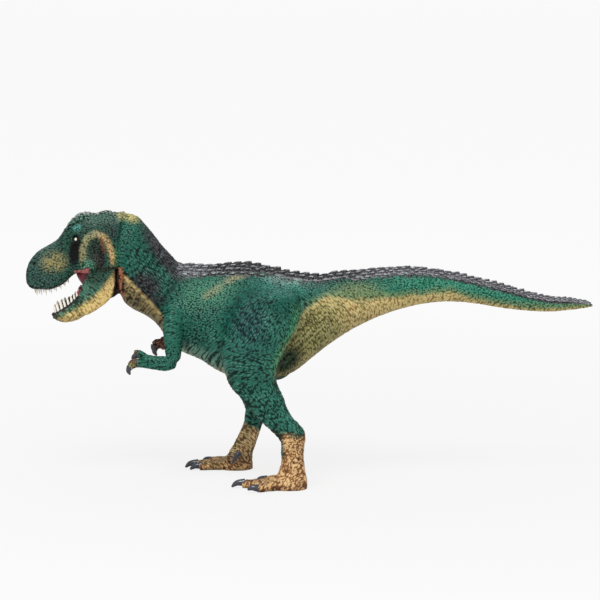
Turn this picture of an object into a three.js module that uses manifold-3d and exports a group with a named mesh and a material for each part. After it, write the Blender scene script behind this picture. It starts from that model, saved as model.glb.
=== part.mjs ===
// A toy dinosaur figure: a two-legged meat eater in soft plastic with a hinged lower jaw.
// Millimetres, +Z up. The snout points to -X, the tail to +X and the figure's left side to -Y.
// The origin is at the middle of its length and width, at the height of the soles.

import * as THREE from 'three';
import { mergeVertices } from 'three/addons/utils/BufferGeometryUtils.js';
import Module from 'manifold-3d';

const wasm = await Module();
wasm.setup();

// Driving dimensions
const figureLength = 315; // snout to tail tip
const figureHeight = 151.5; // soles to crown
const figureWidth = 86; // over both thighs

// Clearances
const fitGap = 0.3; // between glued or seated pieces
const runningGap = 0.5; // between the jaw and what it moves past
const overrun = 3; // how far a cutter runs past the face that it cuts
const weldGap = 0.001; // points closer than this are one point

// Jaw hinge
const jawPinRadius = 1.3;
const jawEarRadius = 5;
const jawPlateThickness = 3.4;
const jawFloorWall = 2; // under the throat
const jawSeatDepth = 1.6; // how far the pin reaches into each cheek
const jawClosing = 20; // degrees from the modelled pose to the bite
const jawOpening = 3; // degrees from the modelled pose to the wide stop
const jawSweepSteps = 4;

// Walls and pegs
const skinWall = 5; // least skin over the core
const coreWall = 2.5;
const corePinRadius = 2;
const corePinLength = 4;
const neckPegRadius = 6;
const neckPegLength = 12;
const tailPegRadius = 8;
const tailPegLength = 27;
const hipPegRadius = 5;
const hipPegLength = 4;
const shoulderPegRadius = 2.4;
const shoulderPegLength = 3.5;

// Mouth
const gumWall = 1.5;
const upperToothLength = 3.6;
const lowerToothLength = 4.8;
const toothRadius = 0.85;
const shortToothShare = 0.62; // the first and the last tooth of a row, against its longest
const upperTeethPerSide = 12;
const lowerTeethPerSide = 11;

// Eyes
const eyeRadius = 1.9;

// How full a section is: 2 is an ellipse, more is squarer
const bodyFullness = 2.1;
const legFullness = 2.2;
const skullFullness = 2.3;
const jawFullness = 2.4;
const coreFullness = 2.6;
const mouthFullness = 3;
const flatFullness = 7; // almost flat, at the lips and the gum lines

// How far the teeth lean along the length, against their height
const upperToothLean = 0.15;
const lowerToothLean = -0.28;

// Sides round a section
const skullSides = 32;
const bodySides = 28;
const spaceSides = 20;
const tailSides = 20;
const legSides = 20;
const armSides = 12;
const toeSides = 8;
const toothSides = 5;
const pegSides = 20;

// A place on the middle plane, from its share of the length from the snout and of the height from the soles
const along = (share) => (share - 0.5) * figureLength;
const up = (share) => share * figureHeight;
const across = (share) => share * figureWidth;

// Sections of the body. Each row holds the upper point and the lower point of a section in side view
// (length share, height share, length share, height share), its half width as a share of the width, and
// how much fuller it is at the bottom (positive) or at the top (negative).
const torsoShares = [
  [0.173, 0.985, 0.157, 0.700, 0.180, 0.00],
  [0.197, 0.955, 0.171, 0.660, 0.190, 0.00],
  [0.219, 0.905, 0.187, 0.634, 0.200, 0.05],
  [0.236, 0.858, 0.207, 0.614, 0.212, 0.08],
  [0.254, 0.818, 0.224, 0.590, 0.228, 0.10],
  [0.271, 0.792, 0.236, 0.560, 0.246, 0.10],
  [0.292, 0.782, 0.248, 0.518, 0.264, 0.10],
  [0.315, 0.780, 0.270, 0.480, 0.280, 0.10],
  [0.341, 0.784, 0.302, 0.452, 0.296, 0.12],
  [0.373, 0.788, 0.337, 0.405, 0.306, 0.12],
  [0.405, 0.782, 0.376, 0.374, 0.300, 0.08],
  [0.439, 0.766, 0.414, 0.360, 0.276, 0.00],
  [0.478, 0.750, 0.451, 0.376, 0.244, 0.00],
  [0.513, 0.744, 0.492, 0.436, 0.212, 0.00],
];

const tailShares = [
  [0.513, 0.744, 0.492, 0.436, 0.212, 0.00],
  [0.552, 0.756, 0.535, 0.506, 0.182, 0.00],
  [0.591, 0.764, 0.577, 0.562, 0.157, 0.00],
  [0.631, 0.771, 0.619, 0.604, 0.134, 0.00],
  [0.672, 0.777, 0.664, 0.636, 0.116, 0.00],
  [0.714, 0.768, 0.708, 0.655, 0.098, 0.00],
  [0.756, 0.754, 0.752, 0.660, 0.083, 0.00],
  [0.799, 0.734, 0.796, 0.651, 0.070, 0.00],
  [0.841, 0.712, 0.838, 0.636, 0.060, 0.00],
  [0.884, 0.686, 0.881, 0.626, 0.049, 0.00],
  [0.922, 0.671, 0.921, 0.622, 0.039, 0.00],
  [0.958, 0.667, 0.958, 0.628, 0.029, 0.00],
  [0.984, 0.659, 0.984, 0.634, 0.018, 0.00],
  [1.000, 0.652, 1.000, 0.640, 0.007, 0.00],
];

const headShares = [
  [0.000, 0.768, 0.000, 0.744, 0.030, 0.00],
  [0.004, 0.798, 0.003, 0.726, 0.066, 0.05],
  [0.012, 0.825, 0.011, 0.713, 0.086, 0.10],
  [0.024, 0.849, 0.023, 0.710, 0.100, 0.12],
  [0.042, 0.870, 0.041, 0.711, 0.111, 0.14],
  [0.057, 0.891, 0.058, 0.723, 0.120, 0.16],
  [0.067, 0.921, 0.073, 0.741, 0.132, 0.14],
  [0.079, 0.954, 0.085, 0.762, 0.152, 0.06],
  [0.092, 0.974, 0.094, 0.774, 0.170, 0.04],
  [0.108, 0.985, 0.107, 0.772, 0.186, 0.06],
  [0.127, 0.989, 0.124, 0.775, 0.196, 0.08],
  [0.148, 1.000, 0.144, 0.780, 0.194, 0.04],
  [0.173, 0.992, 0.162, 0.791, 0.182, 0.00],
];

// The space of the mouth in the upper jaw: roof point, lip point and half width of each section
const upperMouthShares = [
  [0.012, 0.722, 0.011, 0.700, 0.042, 0.0],
  [0.018, 0.738, 0.018, 0.700, 0.068, 0.0],
  [0.030, 0.750, 0.030, 0.700, 0.085, 0.0],
  [0.042, 0.758, 0.041, 0.702, 0.095, 0.0],
  [0.058, 0.768, 0.058, 0.712, 0.103, 0.0],
  [0.073, 0.790, 0.073, 0.728, 0.114, 0.0],
  [0.088, 0.806, 0.088, 0.745, 0.126, 0.0],
];

// The lower jaw from its front to the corner of the mouth: gum point, under point and half width
const lowerJawShares = [
  [0.0425, 0.618, 0.0425, 0.611, 0.018, 0.00],
  [0.0445, 0.620, 0.0465, 0.598, 0.042, 0.00],
  [0.054, 0.625, 0.055, 0.587, 0.059, 0.00],
  [0.067, 0.640, 0.071, 0.582, 0.071, 0.00],
  [0.081, 0.660, 0.090, 0.592, 0.083, 0.00],
  [0.092, 0.686, 0.107, 0.612, 0.098, 0.00],
  [0.098, 0.715, 0.125, 0.634, 0.118, 0.00],
];

// The trough in the lower jaw that holds the tongue, the gum and the teeth
const lowerMouthShares = [
  [0.0465, 0.640, 0.0480, 0.608, 0.024, 0.00],
  [0.054, 0.646, 0.056, 0.601, 0.041, 0.00],
  [0.067, 0.660, 0.071, 0.598, 0.053, 0.00],
  [0.081, 0.682, 0.088, 0.608, 0.065, 0.00],
  [0.094, 0.706, 0.104, 0.630, 0.080, 0.00],
  [0.102, 0.722, 0.119, 0.645, 0.088, 0.00],
];

// Side outline of a jaw plate below the hinge, from its front top round the bottom to its rear
const jawPlateShares = [
  [0.1285, 0.815],
  [0.106, 0.756],
  [0.099, 0.722],
  [0.094, 0.690],
  [0.098, 0.628],
  [0.109, 0.617],
  [0.125, 0.636],
  [0.142, 0.661],
  [0.154, 0.688],
  [0.159, 0.740],
  [0.159, 0.800],
];

// Where the rows of teeth stand: length share, half width share and height share, from the front backwards
const upperArchShares = [
  [0.0145, 0.010, 0.711],
  [0.0165, 0.044, 0.709],
  [0.022, 0.064, 0.708],
  [0.030, 0.075, 0.708],
  [0.042, 0.085, 0.709],
  [0.058, 0.093, 0.721],
  [0.066, 0.100, 0.731],
  [0.074, 0.106, 0.741],
];
const lowerArchShares = [
  [0.0495, 0.008, 0.620],
  [0.0510, 0.018, 0.621],
  [0.056, 0.032, 0.627],
  [0.066, 0.043, 0.639],
  [0.078, 0.053, 0.655],
  [0.088, 0.064, 0.675],
];

const tongueShares = [
  [0.066, 0.000, 0.634],
  [0.076, 0.000, 0.645],
  [0.088, 0.000, 0.656],
  [0.098, 0.000, 0.672],
];
const tongueRadiusShares = [0.022, 0.034, 0.042, 0.044];

// Legs: front point and rear point of each section in side view, its middle and its half width
const leftLegShares = [
  [0.400, 0.722, 0.462, 0.722, 0.240, 0.110],
  [0.375, 0.690, 0.484, 0.690, 0.270, 0.165],
  [0.354, 0.612, 0.489, 0.606, 0.292, 0.196],
  [0.346, 0.530, 0.470, 0.522, 0.306, 0.194],
  [0.349, 0.452, 0.446, 0.436, 0.314, 0.172],
  [0.357, 0.384, 0.444, 0.380, 0.318, 0.144],
  [0.378, 0.333, 0.453, 0.336, 0.320, 0.120],
  [0.399, 0.281, 0.460, 0.296, 0.320, 0.102],
  [0.418, 0.237, 0.469, 0.260, 0.320, 0.090],
  [0.435, 0.204, 0.484, 0.230, 0.320, 0.082],
  [0.447, 0.172, 0.492, 0.196, 0.320, 0.076],
  [0.448, 0.141, 0.489, 0.149, 0.320, 0.070],
  [0.449, 0.101, 0.489, 0.101, 0.320, 0.070],
  [0.444, 0.066, 0.491, 0.062, 0.320, 0.078],
  [0.434, 0.032, 0.494, 0.030, 0.320, 0.092],
  [0.430, -0.008, 0.494, -0.008, 0.320, 0.092],
];
const rightLegShares = [
  [0.400, 0.722, 0.462, 0.722, -0.240, 0.110],
  [0.375, 0.690, 0.484, 0.690, -0.270, 0.165],
  [0.352, 0.612, 0.486, 0.606, -0.292, 0.196],
  [0.343, 0.530, 0.462, 0.520, -0.306, 0.194],
  [0.342, 0.452, 0.436, 0.436, -0.314, 0.172],
  [0.347, 0.384, 0.428, 0.376, -0.318, 0.144],
  [0.358, 0.330, 0.436, 0.332, -0.320, 0.120],
  [0.370, 0.281, 0.440, 0.290, -0.320, 0.102],
  [0.381, 0.238, 0.440, 0.254, -0.320, 0.088],
  [0.381, 0.204, 0.424, 0.222, -0.320, 0.080],
  [0.378, 0.170, 0.416, 0.178, -0.320, 0.074],
  [0.370, 0.130, 0.406, 0.122, -0.320, 0.070],
  [0.360, 0.092, 0.400, 0.082, -0.320, 0.072],
  [0.350, 0.062, 0.396, 0.050, -0.320, 0.080],
  [0.340, 0.030, 0.396, 0.024, -0.320, 0.092],
  [0.336, -0.008, 0.396, -0.008, -0.320, 0.092],
];

// Toes of the left foot: centre line points (length, width, height) and radii as shares of the width
const toeRadiusShares = [0.066, 0.066, 0.058, 0.052, 0.040];
const leftToeShares = [
  [[0.455, 0.320, 0.050], [0.425, 0.318, 0.034], [0.404, 0.316, 0.036], [0.385, 0.314, 0.030], [0.374, 0.314, 0.026]],
  [[0.458, 0.336, 0.050], [0.436, 0.372, 0.034], [0.424, 0.398, 0.034], [0.410, 0.420, 0.028], [0.402, 0.430, 0.024]],
  [[0.458, 0.302, 0.050], [0.438, 0.262, 0.036], [0.426, 0.236, 0.036], [0.416, 0.214, 0.030], [0.410, 0.202, 0.028]],
];
const leftClawShares = [
  [[0.374, 0.314, 0.030], [0.366, 0.314, 0.022], [0.358, 0.313, 0.004]],
  [[0.402, 0.430, 0.028], [0.396, 0.440, 0.020], [0.389, 0.450, 0.004]],
  [[0.410, 0.202, 0.032], [0.404, 0.194, 0.024], [0.398, 0.186, 0.008]],
];
const leftHalluxShares = [
  [[0.470, 0.250, 0.100], [0.463, 0.218, 0.084], [0.458, 0.200, 0.074]],
  [[0.458, 0.200, 0.074], [0.454, 0.188, 0.064], [0.450, 0.180, 0.048]],
];
const clawRadiusShares = [0.034, 0.024, 0.003];
const halluxRadiusShares = [0.030, 0.030, 0.026];

// How much further forward the right foot stands than the left one
const strideShare = 0.089;

// Arms: upper arm from the shoulder to the elbow, forearm from the elbow to the palm, then two fingers
const leftArmShares = [
  [[0.268, 0.640, 0.215], [0.262, 0.590, 0.250], [0.262, 0.540, 0.275], [0.262, 0.492, 0.285], [0.264, 0.462, 0.286]],
  [[0.266, 0.460, 0.286], [0.250, 0.452, 0.286], [0.236, 0.452, 0.284], [0.222, 0.456, 0.282], [0.210, 0.460, 0.280]],
];
const leftFingerShares = [
  [[0.212, 0.452, 0.296], [0.196, 0.452, 0.302], [0.186, 0.440, 0.304]],
  [[0.212, 0.470, 0.264], [0.202, 0.482, 0.258], [0.196, 0.480, 0.256]],
];
const leftFingerClawShares = [
  [[0.186, 0.442, 0.304], [0.184, 0.430, 0.304], [0.187, 0.416, 0.304]],
  [[0.196, 0.482, 0.256], [0.192, 0.474, 0.256], [0.192, 0.462, 0.256]],
];
const rightArmShares = [
  [[0.272, 0.640, 0.215], [0.270, 0.590, 0.250], [0.272, 0.545, 0.275], [0.276, 0.505, 0.285], [0.276, 0.478, 0.286]],
  [[0.277, 0.476, 0.286], [0.264, 0.474, 0.284], [0.252, 0.476, 0.278], [0.242, 0.478, 0.268], [0.234, 0.480, 0.258]],
];
const rightFingerShares = [
  [[0.236, 0.476, 0.266], [0.224, 0.470, 0.266], [0.220, 0.456, 0.264]],
  [[0.236, 0.486, 0.240], [0.224, 0.486, 0.232], [0.219, 0.474, 0.230]],
];
const rightFingerClawShares = [
  [[0.220, 0.458, 0.264], [0.220, 0.448, 0.264], [0.224, 0.436, 0.264]],
  [[0.219, 0.476, 0.230], [0.218, 0.466, 0.230], [0.221, 0.454, 0.230]],
];
const upperArmRadiusShares = [0.066, 0.070, 0.060, 0.052, 0.046];
const forearmRadiusShares = [0.046, 0.042, 0.038, 0.036, 0.038];
const fingerRadiusShares = [0.020, 0.019, 0.017];
const fingerClawRadiusShares = [0.017, 0.012, 0.002];

// Single places
const hingeShares = [0.1435, 0.809];
const jawWidthShare = 0.134; // half the width over the jaw's plates
const eyeShares = [0.0910, 0.148, 0.902];
const neckPegShares = [0.168, 0.862];
const tailPegShares = [0.502, 0.595];
const hipPegShares = [0.430, 0.590];
const shoulderPegShares = [0.266, 0.610];
const throatShares = [0.146, 0.190];
const hipSeatShare = 0.165; // how far the thigh's flat inner face stands from the middle plane
const shoulderSeatShare = 0.190;

// Rows of the tables that other pieces are worked out from
const lipFirstRow = 2; // of headShares
const lipLastRow = 8;
const jawHeelIndex = 7; // of jawPlateShares
const thighRowCount = 8; // of leftLegShares and rightLegShares
const coreFirstRow = 3; // of torsoShares
const coreLastRow = 11;
const coreWidthShares = [0.110, 0.120, 0.125, 0.130, 0.130, 0.115, 0.095, 0.085, 0.085];
const corePinShares = [[0.300, 0.640], [0.400, 0.480]];

// Solid helpers

function toSolid(geometry) {
  const bare = geometry.clone();
  bare.deleteAttribute('normal');
  bare.deleteAttribute('uv');
  const merged = mergeVertices(bare, weldGap);
  const vertProperties = new Float32Array(merged.attributes.position.array);
  const triVerts = new Uint32Array(merged.index.array);
  return new wasm.Manifold(new wasm.Mesh({ numProp: 3, vertProperties, triVerts }));
}

function toGeometry(solid) {
  const mesh = solid.getMesh();
  const geometry = new THREE.BufferGeometry();
  geometry.setAttribute('position', new THREE.BufferAttribute(mesh.vertProperties, 3));
  geometry.setIndex(new THREE.BufferAttribute(mesh.triVerts, 1));
  geometry.computeVertexNormals();
  return geometry;
}

const joined = (solids) => solids.reduce((whole, solid) => whole.add(solid));

// A closed skin over rings of points, with a flat fan over the first ring and the last ring
function ringSkin(rings) {
  const sides = rings[0].length;
  const points = rings.flat();
  const faces = [];
  for (let ring = 0; ring + 1 < rings.length; ring += 1) {
    for (let side = 0; side < sides; side += 1) {
      const next = (side + 1) % sides;
      const here = ring * sides;
      const there = here + sides;
      faces.push(here + side, here + next, there + next);
      faces.push(here + side, there + next, there + side);
    }
  }
  const firstCentre = points.length;
  const lastCentre = firstCentre + 1;
  for (const ring of [rings[0], rings[rings.length - 1]]) {
    const centre = new THREE.Vector3();
    ring.forEach((point) => centre.addScaledVector(point, 1 / sides));
    points.push(centre);
  }
  const last = (rings.length - 1) * sides;
  for (let side = 0; side < sides; side += 1) {
    const next = (side + 1) % sides;
    faces.push(firstCentre, next, side);
    faces.push(lastCentre, last + side, last + next);
  }
  const geometry = new THREE.BufferGeometry().setFromPoints(points);
  geometry.setIndex(faces);
  const solid = toSolid(geometry);
  if (solid.volume() >= 0) return solid;
  geometry.setIndex(faces.map((value, place) => faces[place - (place % 3) + (2 - (place % 3))]));
  return toSolid(geometry);
}

// Rows between the given rows, on smooth curves through them
function smoothRows(rows, steps) {
  const smooth = [];
  const rowAt = (place) => rows[THREE.MathUtils.clamp(place, 0, rows.length - 1)];
  for (let row = 0; row + 1 < rows.length; row += 1) {
    const around = [row - 1, row, row + 1, row + 2].map(rowAt);
    for (let step = 0; step < steps; step += 1) {
      const t = step / steps;
      smooth.push(around[1].map((value, column) => catmullRom(around.map((each) => each[column]), t)));
    }
  }
  smooth.push(rows[rows.length - 1]);
  return smooth;
}

function catmullRom([before, start, end, after], t) {
  const startSlope = (end - before) / 2;
  const endSlope = (after - start) / 2;
  const cubic = 2 * (start - end) + startSlope + endSlope;
  const square = 3 * (end - start) - 2 * startSlope - endSlope;
  return ((cubic * t + square) * t + startSlope) * t + start;
}

// A section between two points of the side view. The half towards the second point has its own fullness.
function sectionRing({ first, second, middle, halfWidth, sag, fullness, lowFullness, sides, grow }) {
  const centre = first.clone().add(second).multiplyScalar(0.5);
  centre.y = middle;
  const spoke = first.clone().sub(second).multiplyScalar(0.5);
  spoke.y = 0;
  spoke.setLength(spoke.length() + grow);
  const ring = [];
  for (let side = 0; side < sides; side += 1) {
    const angle = (side / sides) * 2 * Math.PI;
    const power = 2 / (Math.cos(angle) > 0 ? fullness : lowFullness);
    const rise = Math.sign(Math.cos(angle)) * Math.abs(Math.cos(angle)) ** power;
    const reach = Math.sign(Math.sin(angle)) * Math.abs(Math.sin(angle)) ** power;
    const point = centre.clone().addScaledVector(spoke, rise);
    point.y += reach * (halfWidth + grow) * (1 - sag * rise);
    ring.push(point);
  }
  return ring;
}

// The end rings of a grown skin move outwards too, so that the whole skin stands off by the same gap
function moveEnds(rings, grow) {
  const centreOf = (ring) => new THREE.Box3().setFromPoints(ring).getCenter(new THREE.Vector3());
  const ends = [[0, 1], [rings.length - 1, rings.length - 2]];
  for (const [end, inner] of ends) {
    const away = centreOf(rings[end]).sub(centreOf(rings[inner])).setLength(Math.abs(grow));
    away.multiplyScalar(Math.sign(grow));
    rings[end].forEach((point) => point.add(away));
  }
}

// A body, tail, head or mouth space through rows of [x, z, x, z, half width, sag] shares
function bodySolid(rows, {
  sides = bodySides, fullness = bodyFullness, lowFullness = fullness, steps = 2, grow = 0,
} = {}) {
  const ringOf = ([firstX, firstZ, secondX, secondZ, widthShare, sag]) => sectionRing({
    first: new THREE.Vector3(along(firstX), 0, up(firstZ)),
    second: new THREE.Vector3(along(secondX), 0, up(secondZ)),
    middle: 0,
    halfWidth: across(widthShare),
    sag,
    fullness,
    lowFullness,
    sides,
    grow,
  });
  const rings = smoothRows(rows, steps).map(ringOf);
  if (grow !== 0) moveEnds(rings, grow);
  return ringSkin(rings);
}

// A leg through rows of [front x, front z, rear x, rear z, middle, half width] shares
function legColumn(rows, grow = 0) {
  const ringOf = ([frontX, frontZ, rearX, rearZ, middleShare, widthShare]) => sectionRing({
    first: new THREE.Vector3(along(frontX), 0, up(frontZ)),
    second: new THREE.Vector3(along(rearX), 0, up(rearZ)),
    middle: -across(middleShare),
    halfWidth: across(widthShare),
    sag: 0,
    fullness: legFullness,
    lowFullness: legFullness,
    sides: legSides,
    grow,
  });
  const rings = smoothRows(rows, 2).map(ringOf);
  if (grow !== 0) moveEnds(rings, grow);
  return ringSkin(rings);
}

// A round limb that tapers along a smooth line of points
function taperedLimb(points, radii, sides, grow = 0) {
  const curve = new THREE.CatmullRomCurve3(points);
  const steps = 2 * (points.length - 1);
  const rings = [];
  for (let step = 0; step <= steps; step += 1) {
    const t = step / steps;
    const place = t * (radii.length - 1);
    const low = Math.min(Math.floor(place), radii.length - 2);
    const radius = THREE.MathUtils.lerp(radii[low], radii[low + 1], place - low) + grow;
    const centre = curve.getPoint(t);
    const tangent = curve.getTangent(t);
    const side = new THREE.Vector3(0, 1, 0).projectOnPlane(tangent).normalize();
    const lift = new THREE.Vector3().crossVectors(side, tangent);
    const ring = [];
    for (let corner = 0; corner < sides; corner += 1) {
      const angle = (corner / sides) * 2 * Math.PI;
      const point = centre.clone().addScaledVector(side, Math.cos(angle) * radius);
      ring.push(point.addScaledVector(lift, Math.sin(angle) * radius));
    }
    rings.push(ring);
  }
  if (grow !== 0) moveEnds(rings, grow);
  return ringSkin(rings);
}

// Limb points are given as [length, width, height] shares, arm points as [length, height, width] shares.
// Side is -1 on the left and 1 on the right.
const placeOf = (x, y, z, side) => new THREE.Vector3(along(x), side * across(y), up(z));
const limbPoints = (rows, side) => rows.map(([x, y, z]) => placeOf(x, y, z, side));
const armPoints = (rows, side) => rows.map(([x, z, y]) => placeOf(x, y, z, side));
const widths = (shares) => shares.map(across);

// A block between two corners
function block(low, high) {
  const size = new THREE.Vector3().subVectors(high, low);
  const geometry = new THREE.BoxGeometry(size.x, size.y, size.z);
  geometry.translate((low.x + high.x) / 2, (low.y + high.y) / 2, (low.z + high.z) / 2);
  return toSolid(geometry);
}

// The turn that takes the axis of a cylinder or a cone to another axis
function turnTo(axis) {
  return new THREE.Quaternion().setFromUnitVectors(new THREE.Vector3(0, 1, 0), axis.clone().normalize());
}

// A round bar whose axis runs from one point to another
function bar(from, to, radius, sides = pegSides) {
  const axis = new THREE.Vector3().subVectors(to, from);
  const geometry = new THREE.CylinderGeometry(radius, radius, axis.length(), sides);
  geometry.applyQuaternion(turnTo(axis));
  const middle = from.clone().add(to).multiplyScalar(0.5);
  geometry.translate(middle.x, middle.y, middle.z);
  return toSolid(geometry);
}

const crossBar = (x, z, low, high, radius, sides) =>
  bar(new THREE.Vector3(x, low, z), new THREE.Vector3(x, high, z), radius, sides);

// A slab across the width with an outline drawn in side view
function sideSlab(corners, low, high) {
  const shape = new THREE.Shape(corners);
  const geometry = new THREE.ExtrudeGeometry(shape, { depth: high - low, bevelEnabled: false });
  geometry.rotateX(Math.PI / 2);
  geometry.translate(0, high, 0);
  return toSolid(geometry);
}

// Everything on the outer side of a plane that stands off the middle plane
function outside(side, distance) {
  const far = figureWidth;
  const low = new THREE.Vector3(-figureLength, side > 0 ? distance : -far, -figureHeight);
  const high = new THREE.Vector3(figureLength, side > 0 ? far : -distance, 2 * figureHeight);
  return block(low, high);
}

// Hinge frame
const hinge = new THREE.Vector3(along(hingeShares[0]), 0, up(hingeShares[1]));
const jawOuter = across(jawWidthShare);
const jawInner = jawOuter - jawPlateThickness;
const [jawHeelX, jawHeelZ] = jawPlateShares[jawHeelIndex];
const jawHeel = new THREE.Vector3(along(jawHeelX), 0, up(jawHeelZ));
const gulletRadius = hinge.distanceTo(jawHeel) - jawFloorWall;
const throatRadius = gulletRadius - runningGap;

// Turns a solid about the hinge. A positive angle closes the jaw.
function turnedAboutHinge(solid, angle) {
  const centred = solid.translate([-hinge.x, 0, -hinge.z]);
  return centred.rotate([0, angle, 0]).translate([hinge.x, 0, hinge.z]);
}

// One slab with the side outline of the jaw plates and their round ears
function jawPlateSlab(low, high, grow) {
  const corners = jawPlateShares.map(([x, z]) => new THREE.Vector2(along(x), up(z)));
  const middle = new THREE.Box2().setFromPoints(corners).getCenter(new THREE.Vector2());
  corners.forEach((corner) => corner.add(corner.clone().sub(middle).setLength(Math.SQRT2 * grow)));
  return sideSlab(corners, low, high).add(crossBar(hinge.x, hinge.z, low, high, jawEarRadius + grow));
}

// Lower jaw: a trough with two plates that carry the ears

function jawShape() {
  const front = bodySolid(lowerJawShares, {
    sides: tailSides, fullness: flatFullness, lowFullness: jawFullness,
  });
  return front.add(jawPlateSlab(-jawOuter, jawOuter, 0));
}

// A neighbour with the room cut out that the jaw sweeps, from its wide stop to the bite
function clearedForJaw(neighbour) {
  const jawRoom = jawPlateSlab(-jawOuter - runningGap, jawOuter + runningGap, runningGap);
  let cleared = neighbour;
  for (let turn = 0; turn <= jawSweepSteps; turn += 1) {
    const angle = THREE.MathUtils.lerp(-jawOpening, jawClosing, turn / jawSweepSteps);
    cleared = cleared.subtract(turnedAboutHinge(jawRoom, angle));
  }
  return cleared;
}

// The soft throat that fills the space between the jaw's plates
function throatWeb(grow) {
  const [frontShare, rearShare] = throatShares;
  const half = jawInner - runningGap + grow;
  const round = crossBar(hinge.x, hinge.z, -half, half, throatRadius + grow, bodySides);
  const room = block(
    new THREE.Vector3(along(frontShare) - grow, -half, 0),
    new THREE.Vector3(along(rearShare), half, hinge.z - jawPinRadius * 3 + grow),
  );
  return round.intersect(room);
}

function buildLowerJaw() {
  const trough = bodySolid(lowerMouthShares, { sides: spaceSides, fullness: mouthFullness, grow: fitGap });
  const gullet = crossBar(hinge.x, hinge.z, -jawInner, jawInner, gulletRadius, bodySides);
  const bore = crossBar(hinge.x, hinge.z, -jawOuter - overrun, jawOuter + overrun, jawPinRadius + fitGap);
  return jawShape().subtract(trough).subtract(gullet).subtract(bore);
}

// A cone tooth that stands on a point of the arch and leans with it
function tooth(foot, tip, radius) {
  const axis = new THREE.Vector3().subVectors(tip, foot);
  const geometry = new THREE.ConeGeometry(radius, axis.length(), toothSides);
  geometry.translate(0, axis.length() / 2, 0);
  geometry.applyQuaternion(turnTo(axis));
  geometry.translate(foot.x, foot.y, foot.z);
  return toSolid(geometry);
}

// One row of teeth on each side of an arch. The teeth in the middle of a row are the longest.
function toothRow(archShares, perSide, length, direction) {
  const teeth = [];
  for (const side of [-1, 1]) {
    const arch = new THREE.CatmullRomCurve3(limbPoints(archShares, side));
    for (let count = 0; count < perSide; count += 1) {
      const t = (count + 0.5) / perSide;
      const place = arch.getPointAt(t);
      const share = THREE.MathUtils.lerp(shortToothShare, 1, Math.sin(Math.PI * t));
      const foot = place.clone().addScaledVector(direction, -gumWall);
      const tip = place.clone().addScaledVector(direction, length * share);
      teeth.push(tooth(foot, tip, toothRadius * Math.sqrt(share)));
    }
  }
  return joined(teeth);
}

const upperToothDirection = new THREE.Vector3(upperToothLean, 0, -1).normalize();
const lowerToothDirection = new THREE.Vector3(lowerToothLean, 0, 1).normalize();

// The space of the mouth in the upper jaw
function upperMouth(grow) {
  return bodySolid(upperMouthShares, {
    sides: spaceSides, fullness: mouthFullness, lowFullness: flatFullness, grow,
  });
}

function buildUpperTeeth() {
  const filling = upperMouth(0);
  const hollow = upperMouth(-gumWall).translate([0, 0, -gumWall / 2]);
  const lipRows = headShares.slice(lipFirstRow, lipLastRow + 1);
  const lipLine = lipRows.map(([, , x, z]) => new THREE.Vector2(along(x), up(z) + fitGap));
  const rim = filling.subtract(hollow).subtract(lipCut(lipLine, up(lowerJawShares[0][3])));
  return rim.add(toothRow(upperArchShares, upperTeethPerSide, upperToothLength, upperToothDirection));
}

// Everything on the mouth's side of a lip line, which is drawn in side view from the front backwards
function lipCut(line, level) {
  const front = line[0].clone();
  front.x -= overrun;
  const rear = line[line.length - 1].clone();
  rear.x += overrun;
  const ends = [new THREE.Vector2(rear.x, level), new THREE.Vector2(front.x, level)];
  return sideSlab([front, ...line, rear, ...ends], -figureWidth / 2, figureWidth / 2);
}

function buildLowerTeeth() {
  const filling = bodySolid(lowerMouthShares, { sides: spaceSides, fullness: mouthFullness });
  const gumLine = lowerJawShares.slice(1).map(([x, z]) => new THREE.Vector2(along(x), up(z) - fitGap));
  const row = toothRow(lowerArchShares, lowerTeethPerSide, lowerToothLength, lowerToothDirection);
  const tongue = taperedLimb(limbPoints(tongueShares, 1), widths(tongueRadiusShares), toeSides);
  return filling.subtract(lipCut(gumLine, hinge.z)).add(tongue).add(row);
}

// Eyes
function eyeBead(side, grow) {
  const geometry = new THREE.SphereGeometry(eyeRadius + grow, armSides, armSides / 2 + 1);
  const [centre] = limbPoints([eyeShares], side);
  geometry.translate(centre.x, centre.y, centre.z);
  return toSolid(geometry);
}

// Neck joint
const seamTop = new THREE.Vector3(along(torsoShares[0][0]), 0, up(torsoShares[0][1]));
const seamFoot = new THREE.Vector3(along(torsoShares[0][2]), 0, up(torsoShares[0][3]));
const seamAxis = new THREE.Vector3(seamTop.z - seamFoot.z, 0, seamFoot.x - seamTop.x).normalize();
const neckPegCentre = new THREE.Vector3(along(neckPegShares[0]), 0, up(neckPegShares[1]));

function neckPeg(grow) {
  const start = neckPegCentre.clone().addScaledVector(seamAxis, -overrun);
  const end = neckPegCentre.clone().addScaledVector(seamAxis, neckPegLength + grow);
  return bar(start, end, neckPegRadius + grow);
}

function buildHead() {
  const skull = bodySolid(headShares, {
    sides: skullSides, fullness: skullFullness, lowFullness: flatFullness,
  });
  const boreReach = jawOuter + jawSeatDepth + fitGap;
  const pinBore = crossBar(hinge.x, hinge.z, -boreReach, boreReach, jawPinRadius + fitGap);
  let head = clearedForJaw(skull.subtract(upperMouth(fitGap)));
  head = head.subtract(throatWeb(fitGap)).subtract(pinBore);
  for (const side of [-1, 1]) head = head.subtract(eyeBead(side, fitGap));
  return head.add(neckPeg(0));
}

// Legs

const legRows = (side) => (side < 0 ? leftLegShares : rightLegShares);
const stride = (side) => (side < 0 ? 0 : strideShare);

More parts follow.
